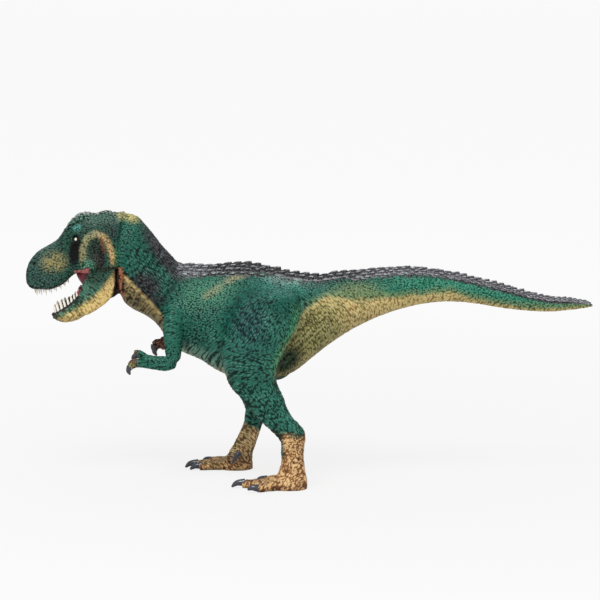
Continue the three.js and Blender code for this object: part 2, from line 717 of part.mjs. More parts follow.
function footSolids(side) {
  const shifted = (rows) => rows.map(([x, y, z]) => [x - stride(side), y, z]);
  const solids = [];
  leftToeShares.forEach((rows, toe) => {
    solids.push(taperedLimb(limbPoints(shifted(rows), side), widths(toeRadiusShares), toeSides));
    solids.push(taperedLimb(limbPoints(shifted(leftClawShares[toe]), side), widths(clawRadiusShares), toeSides));
  });
  const [digit, claw] = leftHalluxShares.map((rows) => limbPoints(shifted(rows), side));
  solids.push(taperedLimb(digit, widths(halluxRadiusShares), toeSides));
  solids.push(taperedLimb(claw, widths(clawRadiusShares), toeSides));
  return solids;
}

const hipPeg = (side, grow) => {
  const seat = across(hipSeatShare);
  const inner = seat - hipPegLength - grow;
  const ends = [side * inner, side * (seat + overrun)].sort((low, high) => low - high);
  return crossBar(along(hipPegShares[0]), up(hipPegShares[1]), ends[0], ends[1], hipPegRadius + grow);
};

function thighSpace(side, grow) {
  const thighRows = legRows(side).slice(0, thighRowCount);
  return legColumn(thighRows, grow).intersect(outside(side, across(hipSeatShare) - grow));
}

function buildLeg(side) {
  const floor = block(
    new THREE.Vector3(-figureLength, -figureWidth, -figureHeight),
    new THREE.Vector3(figureLength, figureWidth, 0),
  );
  const column = legColumn(legRows(side)).intersect(outside(side, across(hipSeatShare)));
  const leg = joined([column, ...footSolids(side)]).subtract(floor);
  return leg.add(hipPeg(side, 0));
}

// Arms

const armTables = (side) => (side < 0
  ? [leftArmShares, leftFingerShares, leftFingerClawShares]
  : [rightArmShares, rightFingerShares, rightFingerClawShares]);

function shoulderPeg(side, grow) {
  const seat = across(shoulderSeatShare);
  const inner = seat - shoulderPegLength - grow;
  const ends = [side * inner, side * (seat + overrun)].sort((low, high) => low - high);
  const [pegX, pegZ] = [along(shoulderPegShares[0]), up(shoulderPegShares[1])];
  return crossBar(pegX, pegZ, ends[0], ends[1], shoulderPegRadius + grow);
}

function upperArm(side, grow) {
  const [[upper]] = armTables(side);
  const limb = taperedLimb(armPoints(upper, side), widths(upperArmRadiusShares), armSides, grow);
  return limb.intersect(outside(side, across(shoulderSeatShare) - grow));
}

function buildArm(side) {
  const [[, fore], fingers, claws] = armTables(side);
  const limb = (rows, radiusShares, sides) => taperedLimb(armPoints(rows, side), widths(radiusShares), sides);
  const solids = [upperArm(side, 0)];
  solids.push(limb(fore, forearmRadiusShares, armSides));
  fingers.forEach((rows) => solids.push(limb(rows, fingerRadiusShares, toeSides)));
  claws.forEach((rows) => solids.push(limb(rows, fingerClawRadiusShares, toeSides)));
  return joined(solids).add(shoulderPeg(side, 0));
}

// Tail
const tailJoint = new THREE.Vector3(along(tailPegShares[0]), 0, up(tailPegShares[1]));
const tailTop = new THREE.Vector3(along(tailShares[0][0]), 0, up(tailShares[0][1]));
const tailFoot = new THREE.Vector3(along(tailShares[0][2]), 0, up(tailShares[0][3]));
const tailAxis = new THREE.Vector3(tailTop.z - tailFoot.z, 0, tailFoot.x - tailTop.x).normalize();

function tailPeg(grow) {
  const start = tailJoint.clone().addScaledVector(tailAxis, overrun);
  const end = tailJoint.clone().addScaledVector(tailAxis, -tailPegLength - grow);
  return bar(start, end, tailPegRadius + grow);
}

function buildTail() {
  const seamGap = tailAxis.clone().multiplyScalar(fitGap);
  const tail = bodySolid(tailShares, { sides: tailSides }).translate(seamGap.toArray());
  return tail.add(tailPeg(0));
}

// Core and torso

function coreShape(grow) {
  const rows = torsoShares.slice(coreFirstRow, coreLastRow + 1).map((row, place) => {
    const [firstX, firstZ, secondX, secondZ] = row;
    const height = Math.hypot(along(firstX) - along(secondX), up(firstZ) - up(secondZ));
    const inset = skinWall / height;
    const mixed = (first, second) => [first + (second - first) * inset, second + (first - second) * inset];
    const [topX, lowX] = mixed(firstX, secondX);
    const [topZ, lowZ] = mixed(firstZ, secondZ);
    return [topX, topZ, lowX, lowZ, coreWidthShares[place], 0];
  });
  return bodySolid(rows, { sides: spaceSides, steps: 1, fullness: coreFullness, grow });
}

function buildCoreHalf(side) {
  const whole = coreShape(0);
  let half = whole.subtract(coreShape(-coreWall));
  for (const [x, z] of corePinShares) {
    half = half.add(crossBar(along(x), up(z), -figureWidth, figureWidth, 2 * corePinRadius).intersect(whole));
  }
  half = half.intersect(outside(side, fitGap / 2)).subtract(tailPeg(fitGap));
  for (const [x, z] of corePinShares) {
    const socketRadius = corePinRadius + fitGap;
    if (side < 0) {
      half = half.add(crossBar(along(x), up(z), -corePinLength, corePinLength, corePinRadius));
    } else {
      half = half.subtract(crossBar(along(x), up(z), -overrun, corePinLength + fitGap, socketRadius));
    }
  }
  return half;
}

function buildTorso() {
  let torso = bodySolid(torsoShares).translate(seamAxis.clone().multiplyScalar(fitGap).toArray());
  torso = clearedForJaw(torso).add(throatWeb(0));
  torso = torso.subtract(neckPeg(fitGap)).subtract(tailPeg(fitGap)).subtract(coreShape(fitGap));
  for (const side of [-1, 1]) {
    torso = torso.subtract(thighSpace(side, fitGap)).subtract(hipPeg(side, fitGap));
    torso = torso.subtract(upperArm(side, fitGap)).subtract(shoulderPeg(side, fitGap));
  }
  return torso;
}

function buildPin() {
  const reach = jawOuter + jawSeatDepth;
  return crossBar(hinge.x, hinge.z, -reach, reach, jawPinRadius);
}

// Materials
const softPlastic = (color) => new THREE.MeshStandardMaterial({ color, roughness: 0.55, metalness: 0 });
const green = softPlastic(0x2c6b57);
const darkGreen = softPlastic(0x2a5a4c);
const ivory = new THREE.MeshStandardMaterial({ color: 0xf2efe6, roughness: 0.35, metalness: 0 });
const gumPink = new THREE.MeshStandardMaterial({ color: 0xc98f8c, roughness: 0.4, metalness: 0 });
const eyeBlack = new THREE.MeshStandardMaterial({ color: 0x0b0a0a, roughness: 0.1, metalness: 0 });
const hardPlastic = new THREE.MeshStandardMaterial({ color: 0xb9bcc0, roughness: 0.5, metalness: 0 });
const steel = new THREE.MeshStandardMaterial({ color: 0xa7abb0, roughness: 0.3, metalness: 1 });

const figure = new THREE.Group();

function addPiece(name, solid, material) {
  const mesh = new THREE.Mesh(toGeometry(solid), material);
  mesh.name = name;
  figure.add(mesh);
}

addPiece('torso', buildTorso(), green);
addPiece('core_left_half', buildCoreHalf(-1), hardPlastic);
addPiece('core_right_half', buildCoreHalf(1), hardPlastic);
addPiece('head', buildHead(), darkGreen);
addPiece('upper_teeth', buildUpperTeeth(), ivory);
addPiece('lower_jaw', buildLowerJaw(), darkGreen);
addPiece('lower_teeth', buildLowerTeeth(), gumPink);
addPiece('jaw_hinge_pin', buildPin(), steel);
addPiece('left_eye', eyeBead(-1, 0), eyeBlack);
addPiece('right_eye', eyeBead(1, 0), eyeBlack);
addPiece('tail', buildTail(), green);
addPiece('left_leg', buildLeg(-1), green);
addPiece('right_leg', buildLeg(1), green);
addPiece('left_arm', buildArm(-1), green);
addPiece('right_arm', buildArm(1), green);

export default figure;
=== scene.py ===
# %% [markdown]
# # A toy dinosaur with a painted, scaly skin
# The real object is a moulded figure in soft plastic. Its skin is one continuous relief of pebbles,
# folds and back plates, and all its colour is paint: sprayed zones, a dark wash that stays in the hollows
# and a pale dry brush that catches the high spots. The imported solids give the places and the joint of
# every piece. This script makes the visible skins over them, much as a toy maker does: blank forms, soft
# blends, sculpted forms, relief and zones of paint, then the separate pieces, and last their materials.
# Places are in millimetres: x runs to the tail, y to the figure's right side and z up.

import math

import bmesh
import bpy
import numpy as np
from mathutils import Matrix, Vector
from mathutils.bvhtree import BVHTree


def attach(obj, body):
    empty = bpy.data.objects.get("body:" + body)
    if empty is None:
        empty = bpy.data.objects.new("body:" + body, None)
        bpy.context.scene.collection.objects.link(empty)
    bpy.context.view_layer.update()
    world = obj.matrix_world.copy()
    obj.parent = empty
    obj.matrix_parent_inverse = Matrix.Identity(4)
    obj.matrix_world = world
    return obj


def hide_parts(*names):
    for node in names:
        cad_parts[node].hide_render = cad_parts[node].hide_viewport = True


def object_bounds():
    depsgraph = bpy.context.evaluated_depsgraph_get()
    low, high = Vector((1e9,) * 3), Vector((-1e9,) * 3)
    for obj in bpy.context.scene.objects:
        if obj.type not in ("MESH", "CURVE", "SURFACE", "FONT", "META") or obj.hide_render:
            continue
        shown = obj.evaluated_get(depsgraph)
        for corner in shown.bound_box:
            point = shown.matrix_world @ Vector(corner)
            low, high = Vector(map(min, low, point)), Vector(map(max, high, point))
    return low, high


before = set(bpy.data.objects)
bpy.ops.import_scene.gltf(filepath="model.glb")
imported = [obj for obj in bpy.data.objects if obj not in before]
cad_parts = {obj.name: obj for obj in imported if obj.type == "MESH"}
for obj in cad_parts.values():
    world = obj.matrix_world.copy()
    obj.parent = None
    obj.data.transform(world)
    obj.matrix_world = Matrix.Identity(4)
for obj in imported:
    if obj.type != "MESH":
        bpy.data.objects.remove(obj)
cad_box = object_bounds()
print("solids' box in metres:", [tuple(round(c, 4) for c in corner) for corner in cad_box])

MM = 0.001
LENGTH, HEIGHT, WIDTH = 315, 151.5, 86  # of the figure, in millimetres, as in its solids

# %% [markdown]
# ## Camera
# The photograph looks at the figure's left side from slightly above, through a long lens. The camera
# stands 1.3 m away and looks down 7.5 degrees, which puts the snout, the tail tip and both soles where
# the photograph has them.

# %% Camera
AIM = Vector((-5.8, 0, 100.8)) * MM
CAMERA_DISTANCE = 1.3
CAMERA_ELEVATION = math.radians(7.5)
LENS = 140.4


def add_object(name, data):
    made = bpy.data.objects.new(name, data)
    bpy.context.scene.collection.objects.link(made)
    return made


def add_camera():
    data = bpy.data.cameras.new("photo_camera")
    data.lens = LENS
    data.sensor_width = 36
    data.clip_start, data.clip_end = 0.01, 50
    camera = add_object("photo_camera", data)
    back = Vector((0, -math.cos(CAMERA_ELEVATION), math.sin(CAMERA_ELEVATION)))
    camera.location = AIM + back * CAMERA_DISTANCE
    camera.rotation_mode = "QUATERNION"
    camera.rotation_quaternion = (-back).to_track_quat("-Z", "Y")
    bpy.context.scene.camera = camera


add_camera()

# %% [markdown]
# ## Blank forms
# The body, tail, legs and arms are skins over rings. Each ring is a section between two points of the
# side view, and a smooth curve through the rows gives the rings in between. The rows are the same shares
# of the length, height and width that the solids follow, with many more rings, so no facets show.

# %% Rows of the body, the tail and the legs
# upper x, upper z, lower x, lower z, half width, fuller below
BODY_ROWS = [
    (0.197, 0.955, 0.171, 0.660, 0.190, 0.00),
    (0.219, 0.905, 0.187, 0.634, 0.200, 0.05),
    (0.236, 0.858, 0.207, 0.614, 0.212, 0.08),
    (0.254, 0.818, 0.224, 0.590, 0.228, 0.10),
    (0.271, 0.792, 0.236, 0.560, 0.246, 0.10),
    (0.292, 0.782, 0.248, 0.518, 0.264, 0.10),
    (0.315, 0.780, 0.270, 0.480, 0.280, 0.10),
    (0.341, 0.784, 0.302, 0.452, 0.296, 0.12),
    (0.373, 0.788, 0.337, 0.405, 0.306, 0.12),
    (0.405, 0.782, 0.376, 0.374, 0.300, 0.08),
    (0.439, 0.766, 0.414, 0.360, 0.276, 0.00),
    (0.478, 0.750, 0.451, 0.376, 0.244, 0.00),
    (0.513, 0.744, 0.492, 0.436, 0.212, 0.00),
    (0.552, 0.756, 0.535, 0.506, 0.182, 0.00),
    (0.591, 0.764, 0.577, 0.562, 0.157, 0.00),
    (0.631, 0.771, 0.619, 0.604, 0.134, 0.00),
    (0.672, 0.777, 0.664, 0.636, 0.116, 0.00),
    (0.714, 0.768, 0.708, 0.655, 0.098, 0.00),
    (0.756, 0.754, 0.752, 0.660, 0.083, 0.00),
    (0.799, 0.734, 0.796, 0.651, 0.070, 0.00),
    (0.841, 0.712, 0.838, 0.636, 0.060, 0.00),
    (0.884, 0.686, 0.881, 0.626, 0.049, 0.00),
    (0.922, 0.671, 0.921, 0.622, 0.039, 0.00),
    (0.958, 0.667, 0.958, 0.628, 0.029, 0.00),
    (0.984, 0.659, 0.984, 0.634, 0.018, 0.00),
    (0.9985, 0.652, 0.9985, 0.640, 0.007, 0.00),
]
# front x, front z, rear x, rear z, middle, half width
LEFT_LEG_ROWS = [
    (0.400, 0.722, 0.462, 0.722, 0.240, 0.110),
    (0.375, 0.690, 0.480, 0.690, 0.270, 0.165),
    (0.354, 0.612, 0.479, 0.606, 0.292, 0.196),
    (0.346, 0.530, 0.458, 0.522, 0.306, 0.194),
    (0.349, 0.452, 0.440, 0.436, 0.314, 0.172),
    (0.357, 0.384, 0.444, 0.380, 0.318, 0.144),
    (0.378, 0.333, 0.453, 0.336, 0.320, 0.120),
    (0.399, 0.281, 0.460, 0.296, 0.320, 0.102),
    (0.418, 0.237, 0.469, 0.260, 0.320, 0.090),
    (0.435, 0.204, 0.484, 0.230, 0.320, 0.082),
    (0.447, 0.172, 0.492, 0.196, 0.320, 0.076),
    (0.448, 0.141, 0.489, 0.149, 0.320, 0.070),
    (0.449, 0.101, 0.489, 0.101, 0.320, 0.070),
    (0.444, 0.066, 0.491, 0.062, 0.320, 0.078),
    (0.434, 0.032, 0.494, 0.030, 0.320, 0.092),
    (0.430, 0.000, 0.494, 0.000, 0.320, 0.092),
]
RIGHT_LEG_ROWS = [
    (0.400, 0.722, 0.462, 0.722, 0.240, 0.110),
    (0.375, 0.690, 0.480, 0.690, 0.270, 0.165),
    (0.352, 0.612, 0.477, 0.606, 0.292, 0.196),
    (0.343, 0.530, 0.454, 0.520, 0.306, 0.194),
    (0.342, 0.452, 0.436, 0.436, 0.314, 0.172),
    (0.347, 0.384, 0.428, 0.376, 0.318, 0.144),
    (0.358, 0.330, 0.436, 0.332, 0.320, 0.120),
    (0.370, 0.281, 0.440, 0.290, 0.320, 0.102),
    (0.381, 0.238, 0.440, 0.254, 0.320, 0.088),
    (0.381, 0.204, 0.424, 0.222, 0.320, 0.080),
    (0.378, 0.170, 0.416, 0.178, 0.320, 0.074),
    (0.370, 0.130, 0.406, 0.122, 0.320, 0.070),
    (0.360, 0.092, 0.400, 0.082, 0.320, 0.072),
    (0.350, 0.062, 0.396, 0.050, 0.320, 0.080),
    (0.340, 0.030, 0.396, 0.024, 0.320, 0.092),
    (0.336, 0.000, 0.396, 0.000, 0.320, 0.092),
]
LEG_ROWS = {"left": LEFT_LEG_ROWS, "right": RIGHT_LEG_ROWS}

# %% Rows of the toes and the arms
# Toes of each foot, from the instep: length, width and height shares. The right foot stands ahead, with
# its inner toe beside the middle one.
STRIDES = {"left": 0, "right": 0.089}  # how far each foot stands ahead, as a share of the length
TOE_RADII = (0.05, 0.043, 0.039, 0.037, 0.031)
MIDDLE_TOE = [(0.455, 0.32, 0.034), (0.425, 0.318, 0.023), (0.404, 0.316, 0.023), (0.389, 0.314, 0.021),
              (0.38, 0.314, 0.019)]
OUTER_TOE = [(0.46, 0.34, 0.034), (0.438, 0.384, 0.023), (0.426, 0.414, 0.023), (0.414, 0.44, 0.021),
             (0.407, 0.45, 0.02)]
INNER_TOES = {
    "left": [(0.458, 0.302, 0.034), (0.44, 0.262, 0.024), (0.43, 0.234, 0.024),
             (0.423, 0.212, 0.022), (0.418, 0.2, 0.02)],
    "right": [(0.458, 0.3, 0.034), (0.43, 0.272, 0.024), (0.41, 0.258, 0.023),
              (0.396, 0.25, 0.021), (0.388, 0.246, 0.019)],
}
MIDDLE_CLAW = [(0.382, 0.314, 0.023), (0.371, 0.314, 0.02), (0.3625, 0.313, 0.005)]
OUTER_CLAW = [(0.408, 0.45, 0.018), (0.399, 0.456, 0.02), (0.391, 0.454, 0.012)]
INNER_CLAWS = {
    "left": [(0.42, 0.204, 0.022), (0.411, 0.194, 0.02), (0.404, 0.188, 0.006)],
    "right": [(0.39, 0.247, 0.021), (0.38, 0.243, 0.018), (0.372, 0.241, 0.005)],
}
HALLUX = [(0.472, 0.25, 0.092), (0.464, 0.218, 0.08), (0.459, 0.198, 0.072)]
HALLUX_CLAW = [(0.4595, 0.196, 0.075), (0.454, 0.184, 0.06), (0.4485, 0.178, 0.036)]
HALLUX_RADII = (0.028, 0.026, 0.022)

# Arms: length, height and width shares of each point
UPPER_ARM_RADII = (0.066, 0.07, 0.06, 0.052, 0.046)
FOREARM_RADII = (0.046, 0.042, 0.038, 0.036, 0.038)
FINGER_RADII = (0.02, 0.019, 0.017)
ARMS = {
    "left": {
        "upper": [(0.268, 0.64, 0.215), (0.262, 0.59, 0.25), (0.262, 0.54, 0.275),
                  (0.262, 0.492, 0.285), (0.264, 0.462, 0.286)],
        "fore": [(0.266, 0.46, 0.286), (0.25, 0.452, 0.286), (0.236, 0.452, 0.284),
                 (0.222, 0.456, 0.282), (0.21, 0.46, 0.28)],
        "fingers": [
            [(0.212, 0.452, 0.296), (0.196, 0.452, 0.302), (0.186, 0.44, 0.304)],
            [(0.212, 0.47, 0.264), (0.202, 0.482, 0.258), (0.196, 0.48, 0.256)],
        ],
        "claws": [
            [(0.186, 0.443, 0.304), (0.184, 0.43, 0.304), (0.187, 0.416, 0.304)],
            [(0.196, 0.482, 0.256), (0.192, 0.474, 0.256), (0.192, 0.462, 0.256)],
        ],
    },
    "right": {
        "upper": [(0.272, 0.64, 0.215), (0.27, 0.59, 0.25), (0.272, 0.545, 0.275),
                  (0.276, 0.505, 0.285), (0.276, 0.478, 0.286)],
        "fore": [(0.277, 0.476, 0.286), (0.264, 0.474, 0.284), (0.252, 0.476, 0.278),
                 (0.242, 0.478, 0.268), (0.234, 0.48, 0.258)],
        "fingers": [
            [(0.236, 0.476, 0.266), (0.224, 0.47, 0.266), (0.22, 0.456, 0.264)],
            [(0.236, 0.486, 0.24), (0.224, 0.486, 0.232), (0.219, 0.474, 0.23)],
        ],
        "claws": [
            [(0.22, 0.458, 0.264), (0.22, 0.448, 0.264), (0.224, 0.436, 0.264)],
            [(0.219, 0.476, 0.23), (0.218, 0.466, 0.23), (0.221, 0.454, 0.23)],
        ],
    },
}

# %% Ring skins
SIDES = {"left": -1, "right": 1}  # the figure's left side is towards -Y
ROW_STEPS = 8  # rings from one row of the body or a leg to the next
BODY_CORNERS, LEG_CORNERS, ARM_CORNERS, TOE_CORNERS, FINGER_CORNERS = 128, 96, 32, 24, 20  # in a ring
BODY_FULLNESS, LEG_FULLNESS = 2.1, 2.2  # 2 makes an ellipse, and more makes it squarer
WELD = 1e-7  # metres under which two points of a solid are one
GROWTH = {"head": 0.2, "torso": 0.15}  # mm by which the solids that join the blanks are grown


def smooth_rows(rows, steps):
    """Rows on a smooth curve through the given rows."""
    rows = np.asarray(rows, float)
    padded = np.vstack([rows[:1], rows, rows[-1:]])
    t = (np.arange(steps) / steps)[:, None]
    parts = []
    for i in range(len(rows) - 1):
        a, b, c, d = padded[i:i + 4]
        cubic = 3 * b - a - 3 * c + d
        square = 2 * a - 5 * b + 4 * c - d
        parts.append(0.5 * (2 * b + (c - a) * t + square * t**2 + cubic * t**3))
    return np.vstack(parts + [rows[-1:]])


def section_rings(rows, sides, middle, fullness):
    """Rings in millimetres from rows of shares: upper x, z, lower x, z, half width, fuller below."""
    angle = np.linspace(0, 2 * np.pi, sides, endpoint=False)
    rise = np.sign(np.cos(angle)) * np.abs(np.cos(angle)) ** (2 / fullness)
    reach = np.sign(np.sin(angle)) * np.abs(np.sin(angle)) ** (2 / fullness)
    x1, z1, x2, z2, half, sag = (rows[:, i:i + 1] for i in range(6))
    x = ((x1 + x2) / 2 - 0.5 + (x1 - x2) / 2 * rise) * LENGTH
    z = ((z1 + z2) / 2 + (z1 - z2) / 2 * rise) * HEIGHT
    y = (middle + half * reach * (1 - sag * rise)) * WIDTH
    return np.stack([x, y, z], axis=2)


def limb_rings(points, radii, sides, steps=6):
    """Rings in millimetres round a smooth line of points in millimetres."""
    line = smooth_rows(points, steps)
    place = np.linspace(0, len(radii) - 1, len(line))
    radius = np.interp(place, np.arange(len(radii)), radii)[:, None, None]
    tangent = np.gradient(line, axis=0)
    tangent /= np.linalg.norm(tangent, axis=1, keepdims=True)
    side = np.array([0, 1, 0]) - tangent[:, 1:2] * tangent
    side /= np.linalg.norm(side, axis=1, keepdims=True)
    lift = np.cross(side, tangent)
    angle = np.linspace(0, 2 * np.pi, sides, endpoint=False)[None, :, None]
    return line[:, None] + radius * (np.cos(angle) * side[:, None] + np.sin(angle) * lift[:, None])


def skin_over(rings):
    """Vertices and faces of a closed skin over rings, facing outwards."""
    count, sides = rings.shape[:2]
    points = np.vstack([rings.reshape(-1, 3), rings[0].mean(0), rings[-1].mean(0)])
    faces = []
    for ring in range(count - 1):
        for k in range(sides):
            n = (k + 1) % sides
            faces.append((ring * sides + k, ring * sides + n, (ring + 1) * sides + n, (ring + 1) * sides + k))
    first, last, base = count * sides, count * sides + 1, (count - 1) * sides
    for k in range(sides):
        n = (k + 1) % sides
        faces.append((first, n, k))
        faces.append((last, base + k, base + n))
    corners = [(points[f[0]], points[f[1]], points[f[2]]) for f in faces]
    if sum(np.dot(a, np.cross(b, c)) for a, b, c in corners) < 0:
        faces = [f[::-1] for f in faces]
    return points, faces


def limb_points(shares, side, order=(0, 1, 2)):
    """Places in millimetres from shares, whose order is length, width, height unless told otherwise."""
    table = np.asarray(shares, float)[:, order]
    return table * (LENGTH, side * WIDTH, HEIGHT) - (LENGTH / 2, 0, 0)


def mesh_from(name, points, faces):
    """A mesh object whose points are given in millimetres."""
    mesh = bpy.data.meshes.new(name)
    mesh.from_pydata((np.asarray(points) * MM).tolist(), [], [tuple(f) for f in faces])
    mesh.update()
    return add_object(name, mesh)


def leg_forms(name):
    """The column, toes and hallux of one leg. Claws are pieces of their own and come later."""
    side = SIDES[name]
    rows = smooth_rows(LEG_ROWS[name], ROW_STEPS)
    rows = np.hstack([rows, np.zeros((len(rows), 1))])
    forms = [section_rings(rows[:, [0, 1, 2, 3, 5, 6]], LEG_CORNERS, side * rows[:, 4:5], LEG_FULLNESS)]
    limbs = [(toe, TOE_RADII, TOE_CORNERS) for toe in (MIDDLE_TOE, OUTER_TOE, INNER_TOES[name])]
    limbs.append((HALLUX, HALLUX_RADII, FINGER_CORNERS))
    for shares, radii, corners in limbs:
        line = limb_points(np.asarray(shares) - (STRIDES[name], 0, 0), side)
        forms.append(limb_rings(line, np.array(radii) * WIDTH, corners))
    return [skin_over(rings) for rings in forms]


def arm_forms(name):
    side, arm = SIDES[name], ARMS[name]
    limbs = [(arm["upper"], UPPER_ARM_RADII, ARM_CORNERS), (arm["fore"], FOREARM_RADII, ARM_CORNERS)]
    limbs += [(finger, FINGER_RADII, FINGER_CORNERS) for finger in arm["fingers"]]
    forms = []
    for shares, radii, sides in limbs:
        points = limb_points(shares, side, (0, 2, 1))
        forms.append(skin_over(limb_rings(points, np.array(radii) * WIDTH, sides)))
    return forms


def cad_form(node, grow):
    """Points and faces of a CAD node, in millimetres, merged and grown a little."""
    work = bmesh.new()
    work.from_mesh(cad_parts[node].data)
    bmesh.ops.remove_doubles(work, verts=work.verts, dist=WELD)
    work.normal_update()
    points = np.array([v.co / MM + v.normal * grow for v in work.verts])
    faces = [tuple(v.index for v in f.verts) for f in work.faces]
    work.free()
    return points, faces


body_rows = smooth_rows(BODY_ROWS, ROW_STEPS)
forms = [skin_over(section_rings(body_rows, BODY_CORNERS, 0, BODY_FULLNESS))]
forms += [cad_form(node, grow) for node, grow in GROWTH.items()]
for name in SIDES:
    forms += leg_forms(name) + arm_forms(name)
print("blank forms:", len(forms))

# %% [markdown]
# ## One skin
# The mould has no steps where a thigh or an arm leaves the body, so the blanks are fused: a voxel remesh
# turns them into one even mesh of small quads, and smoothing with weights rounds the joints between
# them. Toes and fingers get little of it, or they would shrink.

# %% Fuse the blanks
VOXEL = 0.5  # mm


def joined(forms):
    """Points and faces of some forms in one."""
    points, faces, start = [], [], 0
    for form_points, form_faces in forms:
        points.append(form_points)
        faces += [tuple(i + start for i in f) for f in form_faces]
        start += len(form_points)
    return np.vstack(points), faces


def fused(name, forms, voxel):
    """One even skin over overlapping closed forms."""
    thing = mesh_from(name, *joined(forms))
    remesh = thing.modifiers.new("fuse", "REMESH")
    remesh.mode = "VOXEL"
    remesh.voxel_size = voxel * MM
    return applied(thing)


def applied(thing):
    """Replaces a mesh with what its modifiers make of it."""
    graph = bpy.context.evaluated_depsgraph_get()
    mesh = bpy.data.meshes.new_from_object(thing.evaluated_get(graph))
    thing.modifiers.clear()
    old = thing.data
    thing.data = mesh
    bpy.data.meshes.remove(old)
    mesh.name = thing.name
    return thing


def values_of(items, name, width=1, kind=np.float32):
    """One property of all items of a mesh, with a row for each where it has a width."""
    out = np.empty(len(items) * width, kind)
    items.foreach_get(name, out)
    return out.reshape(-1, width) if width > 1 else out


def points_of(mesh):
    return values_of(mesh.vertices, "co", 3).astype(float) / MM


def normals_of(mesh):
    return values_of(mesh.vertex_normals, "vector", 3).astype(float)


def set_points(mesh, points):
    mesh.vertices.foreach_set("co", (points * MM).astype(np.float32).ravel())
    mesh.update()


skin = fused("skin", forms, VOXEL)
print("skin quads:", len(skin.data.polygons))

# %% Helpers for masks
def ramp(low, high, value):
    """0 below low, 1 above high, smooth in between. It also runs downwards, where low is above high."""
    t = np.clip((np.asarray(value, float) - low) / (high - low), 0, 1)
    return t * t * (3 - 2 * t)


def blob(p, centre, radii, turn=0, soft=0.6):
    """1 in the middle of an ellipse in side view, 0 outside it. Turn is in degrees, from X towards Z."""
    a = math.radians(turn)
    x, z = p[:, 0] - centre[0], p[:, 2] - centre[1]
    u = (x * math.cos(a) + z * math.sin(a)) / radii[0]
    v = (z * math.cos(a) - x * math.sin(a)) / radii[1]
    return ramp(1, 1 - soft, np.hypot(u, v))


def line_distance(p, line):
    """Distance in side view from each point to a line through (x, z) places."""
    q = p[:, [0, 2]]
    best = np.full(len(q), 1e9)
    for a, b in zip(np.array(line[:-1], float), np.array(line[1:], float)):
        d = b - a
        t = np.clip((q - a) @ d / (d @ d), 0, 1)
        best = np.minimum(best, np.linalg.norm(q - a - t[:, None] * d, axis=1))
    return best


def stroke(p, line, width, soft=1):
    """1 on a line in side view, 0 further from it than the width."""
    return ramp(width, width * (1 - soft), line_distance(p, line))


def value_noise(q, seed):
    """Smooth noise from 0 to 1 on a unit grid, the same in every run."""
    base = np.floor(q).astype(np.int64)
    f = q - base
    f = f * f * (3 - 2 * f)
    total = np.zeros(len(q))
    for corner in range(8):
        step = np.array([corner & 1, corner >> 1 & 1, corner >> 2 & 1])
        cell = base + step
        code = cell[:, 0] * 73856093 ^ cell[:, 1] * 19349663 ^ cell[:, 2] * 83492791 ^ seed * 6291469
        code = (code ^ (code >> 13)) * 1274126177 & 0x7FFFFFFF
        share = np.prod(np.where(step == 1, f, 1 - f), axis=1)
        total += share * ((code ^ code >> 16) % 65536 / 65535)
    return total


def cloud(p, size, seed):
    """Two octaves of noise with spots of about the given size in millimetres, from 0 to 1."""
    return 0.65 * value_noise(p / size, seed) + 0.35 * value_noise(p / (size * 0.45), seed + 1)


def folds(p, direction, length, width, seed):
    """Wrinkles that run along a direction of the side view, given in degrees: 1 in a furrow, 0 between."""
    a = math.radians(direction)
    along = p[:, 0] * math.cos(a) + p[:, 2] * math.sin(a)
    over = p[:, 2] * math.cos(a) - p[:, 0] * math.sin(a)
    q = np.stack([along / length, over / width, p[:, 1] / length], axis=1)
    q[:, 1] += 0.8 * value_noise(p / (length * 1.2), seed + 5)
    return 1 - np.clip(np.abs(2 * value_noise(q, seed) - 1) * 3.2, 0, 1)

# %% Where things are along the body
top_x, top_z = (body_rows[:, 0] - 0.5) * LENGTH, body_rows[:, 1] * HEIGHT
low_x, low_z = (body_rows[:, 2] - 0.5) * LENGTH, body_rows[:, 3] * HEIGHT
half_widths = body_rows[:, 4] * WIDTH


def back_height(x):
    return np.interp(x, top_x, top_z)


def height_share(p):
    """0 at the underside of the body and 1 at the back, in side view."""
    low, top = np.interp(p[:, 0], low_x, low_z), back_height(p[:, 0])
    return (p[:, 2] - low) / np.maximum(top - low, 1)


def inside_outline(p, corners):
    """Signed distance in side view to a closed outline: positive inside."""
    q = p[:, [0, 2]]
    ring = np.array(corners, float)
    inside = np.zeros(len(q), bool)
    for (x1, z1), (x2, z2) in zip(ring, np.roll(ring, -1, axis=0)):
        crosses = (z1 > q[:, 1]) != (z2 > q[:, 1])
        at = x1 + (q[:, 1] - z1) * (x2 - x1) / (z2 - z1 if z2 != z1 else 1e-9)
        inside ^= crosses & (q[:, 0] < at)
    distance = line_distance(p, np.vstack([ring, ring[:1]]))
    return np.where(inside, distance, -distance)


def leg_outline(name):
    rows = smooth_rows(LEG_ROWS[name], 3)
    front = rows[:, :2] * (LENGTH, HEIGHT) - (LENGTH / 2, 0)
    rear = rows[:, 2:4] * (LENGTH, HEIGHT) - (LENGTH / 2, 0)
    return np.vstack([front, rear[::-1]])


THIGH_SEAT = 14.2  # mm from the middle plane to the inner face of a thigh
THIGH_FOOT = 52  # height below which everything belongs to a leg
ARM_SEAT = 16.3  # mm from the middle plane to the inner end of an arm
HEAD_SEAM = ((-103, 150), (-108, 106))  # x and z of two points of the cut
TAIL_SEAM = ((4, 113), (-2.5, 66))
UPPER_ARM_SPARE, FOREARM_SPARE, FINGER_SPARE = 1, 2.5, 3  # mm of skin that goes with each


def beyond(p, seam):
    """Signed distance in side view to a seam: positive on the tail's side of it."""
    (x1, z1), (x2, z2) = seam
    nx, nz = z1 - z2, x2 - x1
    return ((p[:, 0] - x1) * nx + (p[:, 2] - z1) * nz) / math.hypot(nx, nz)


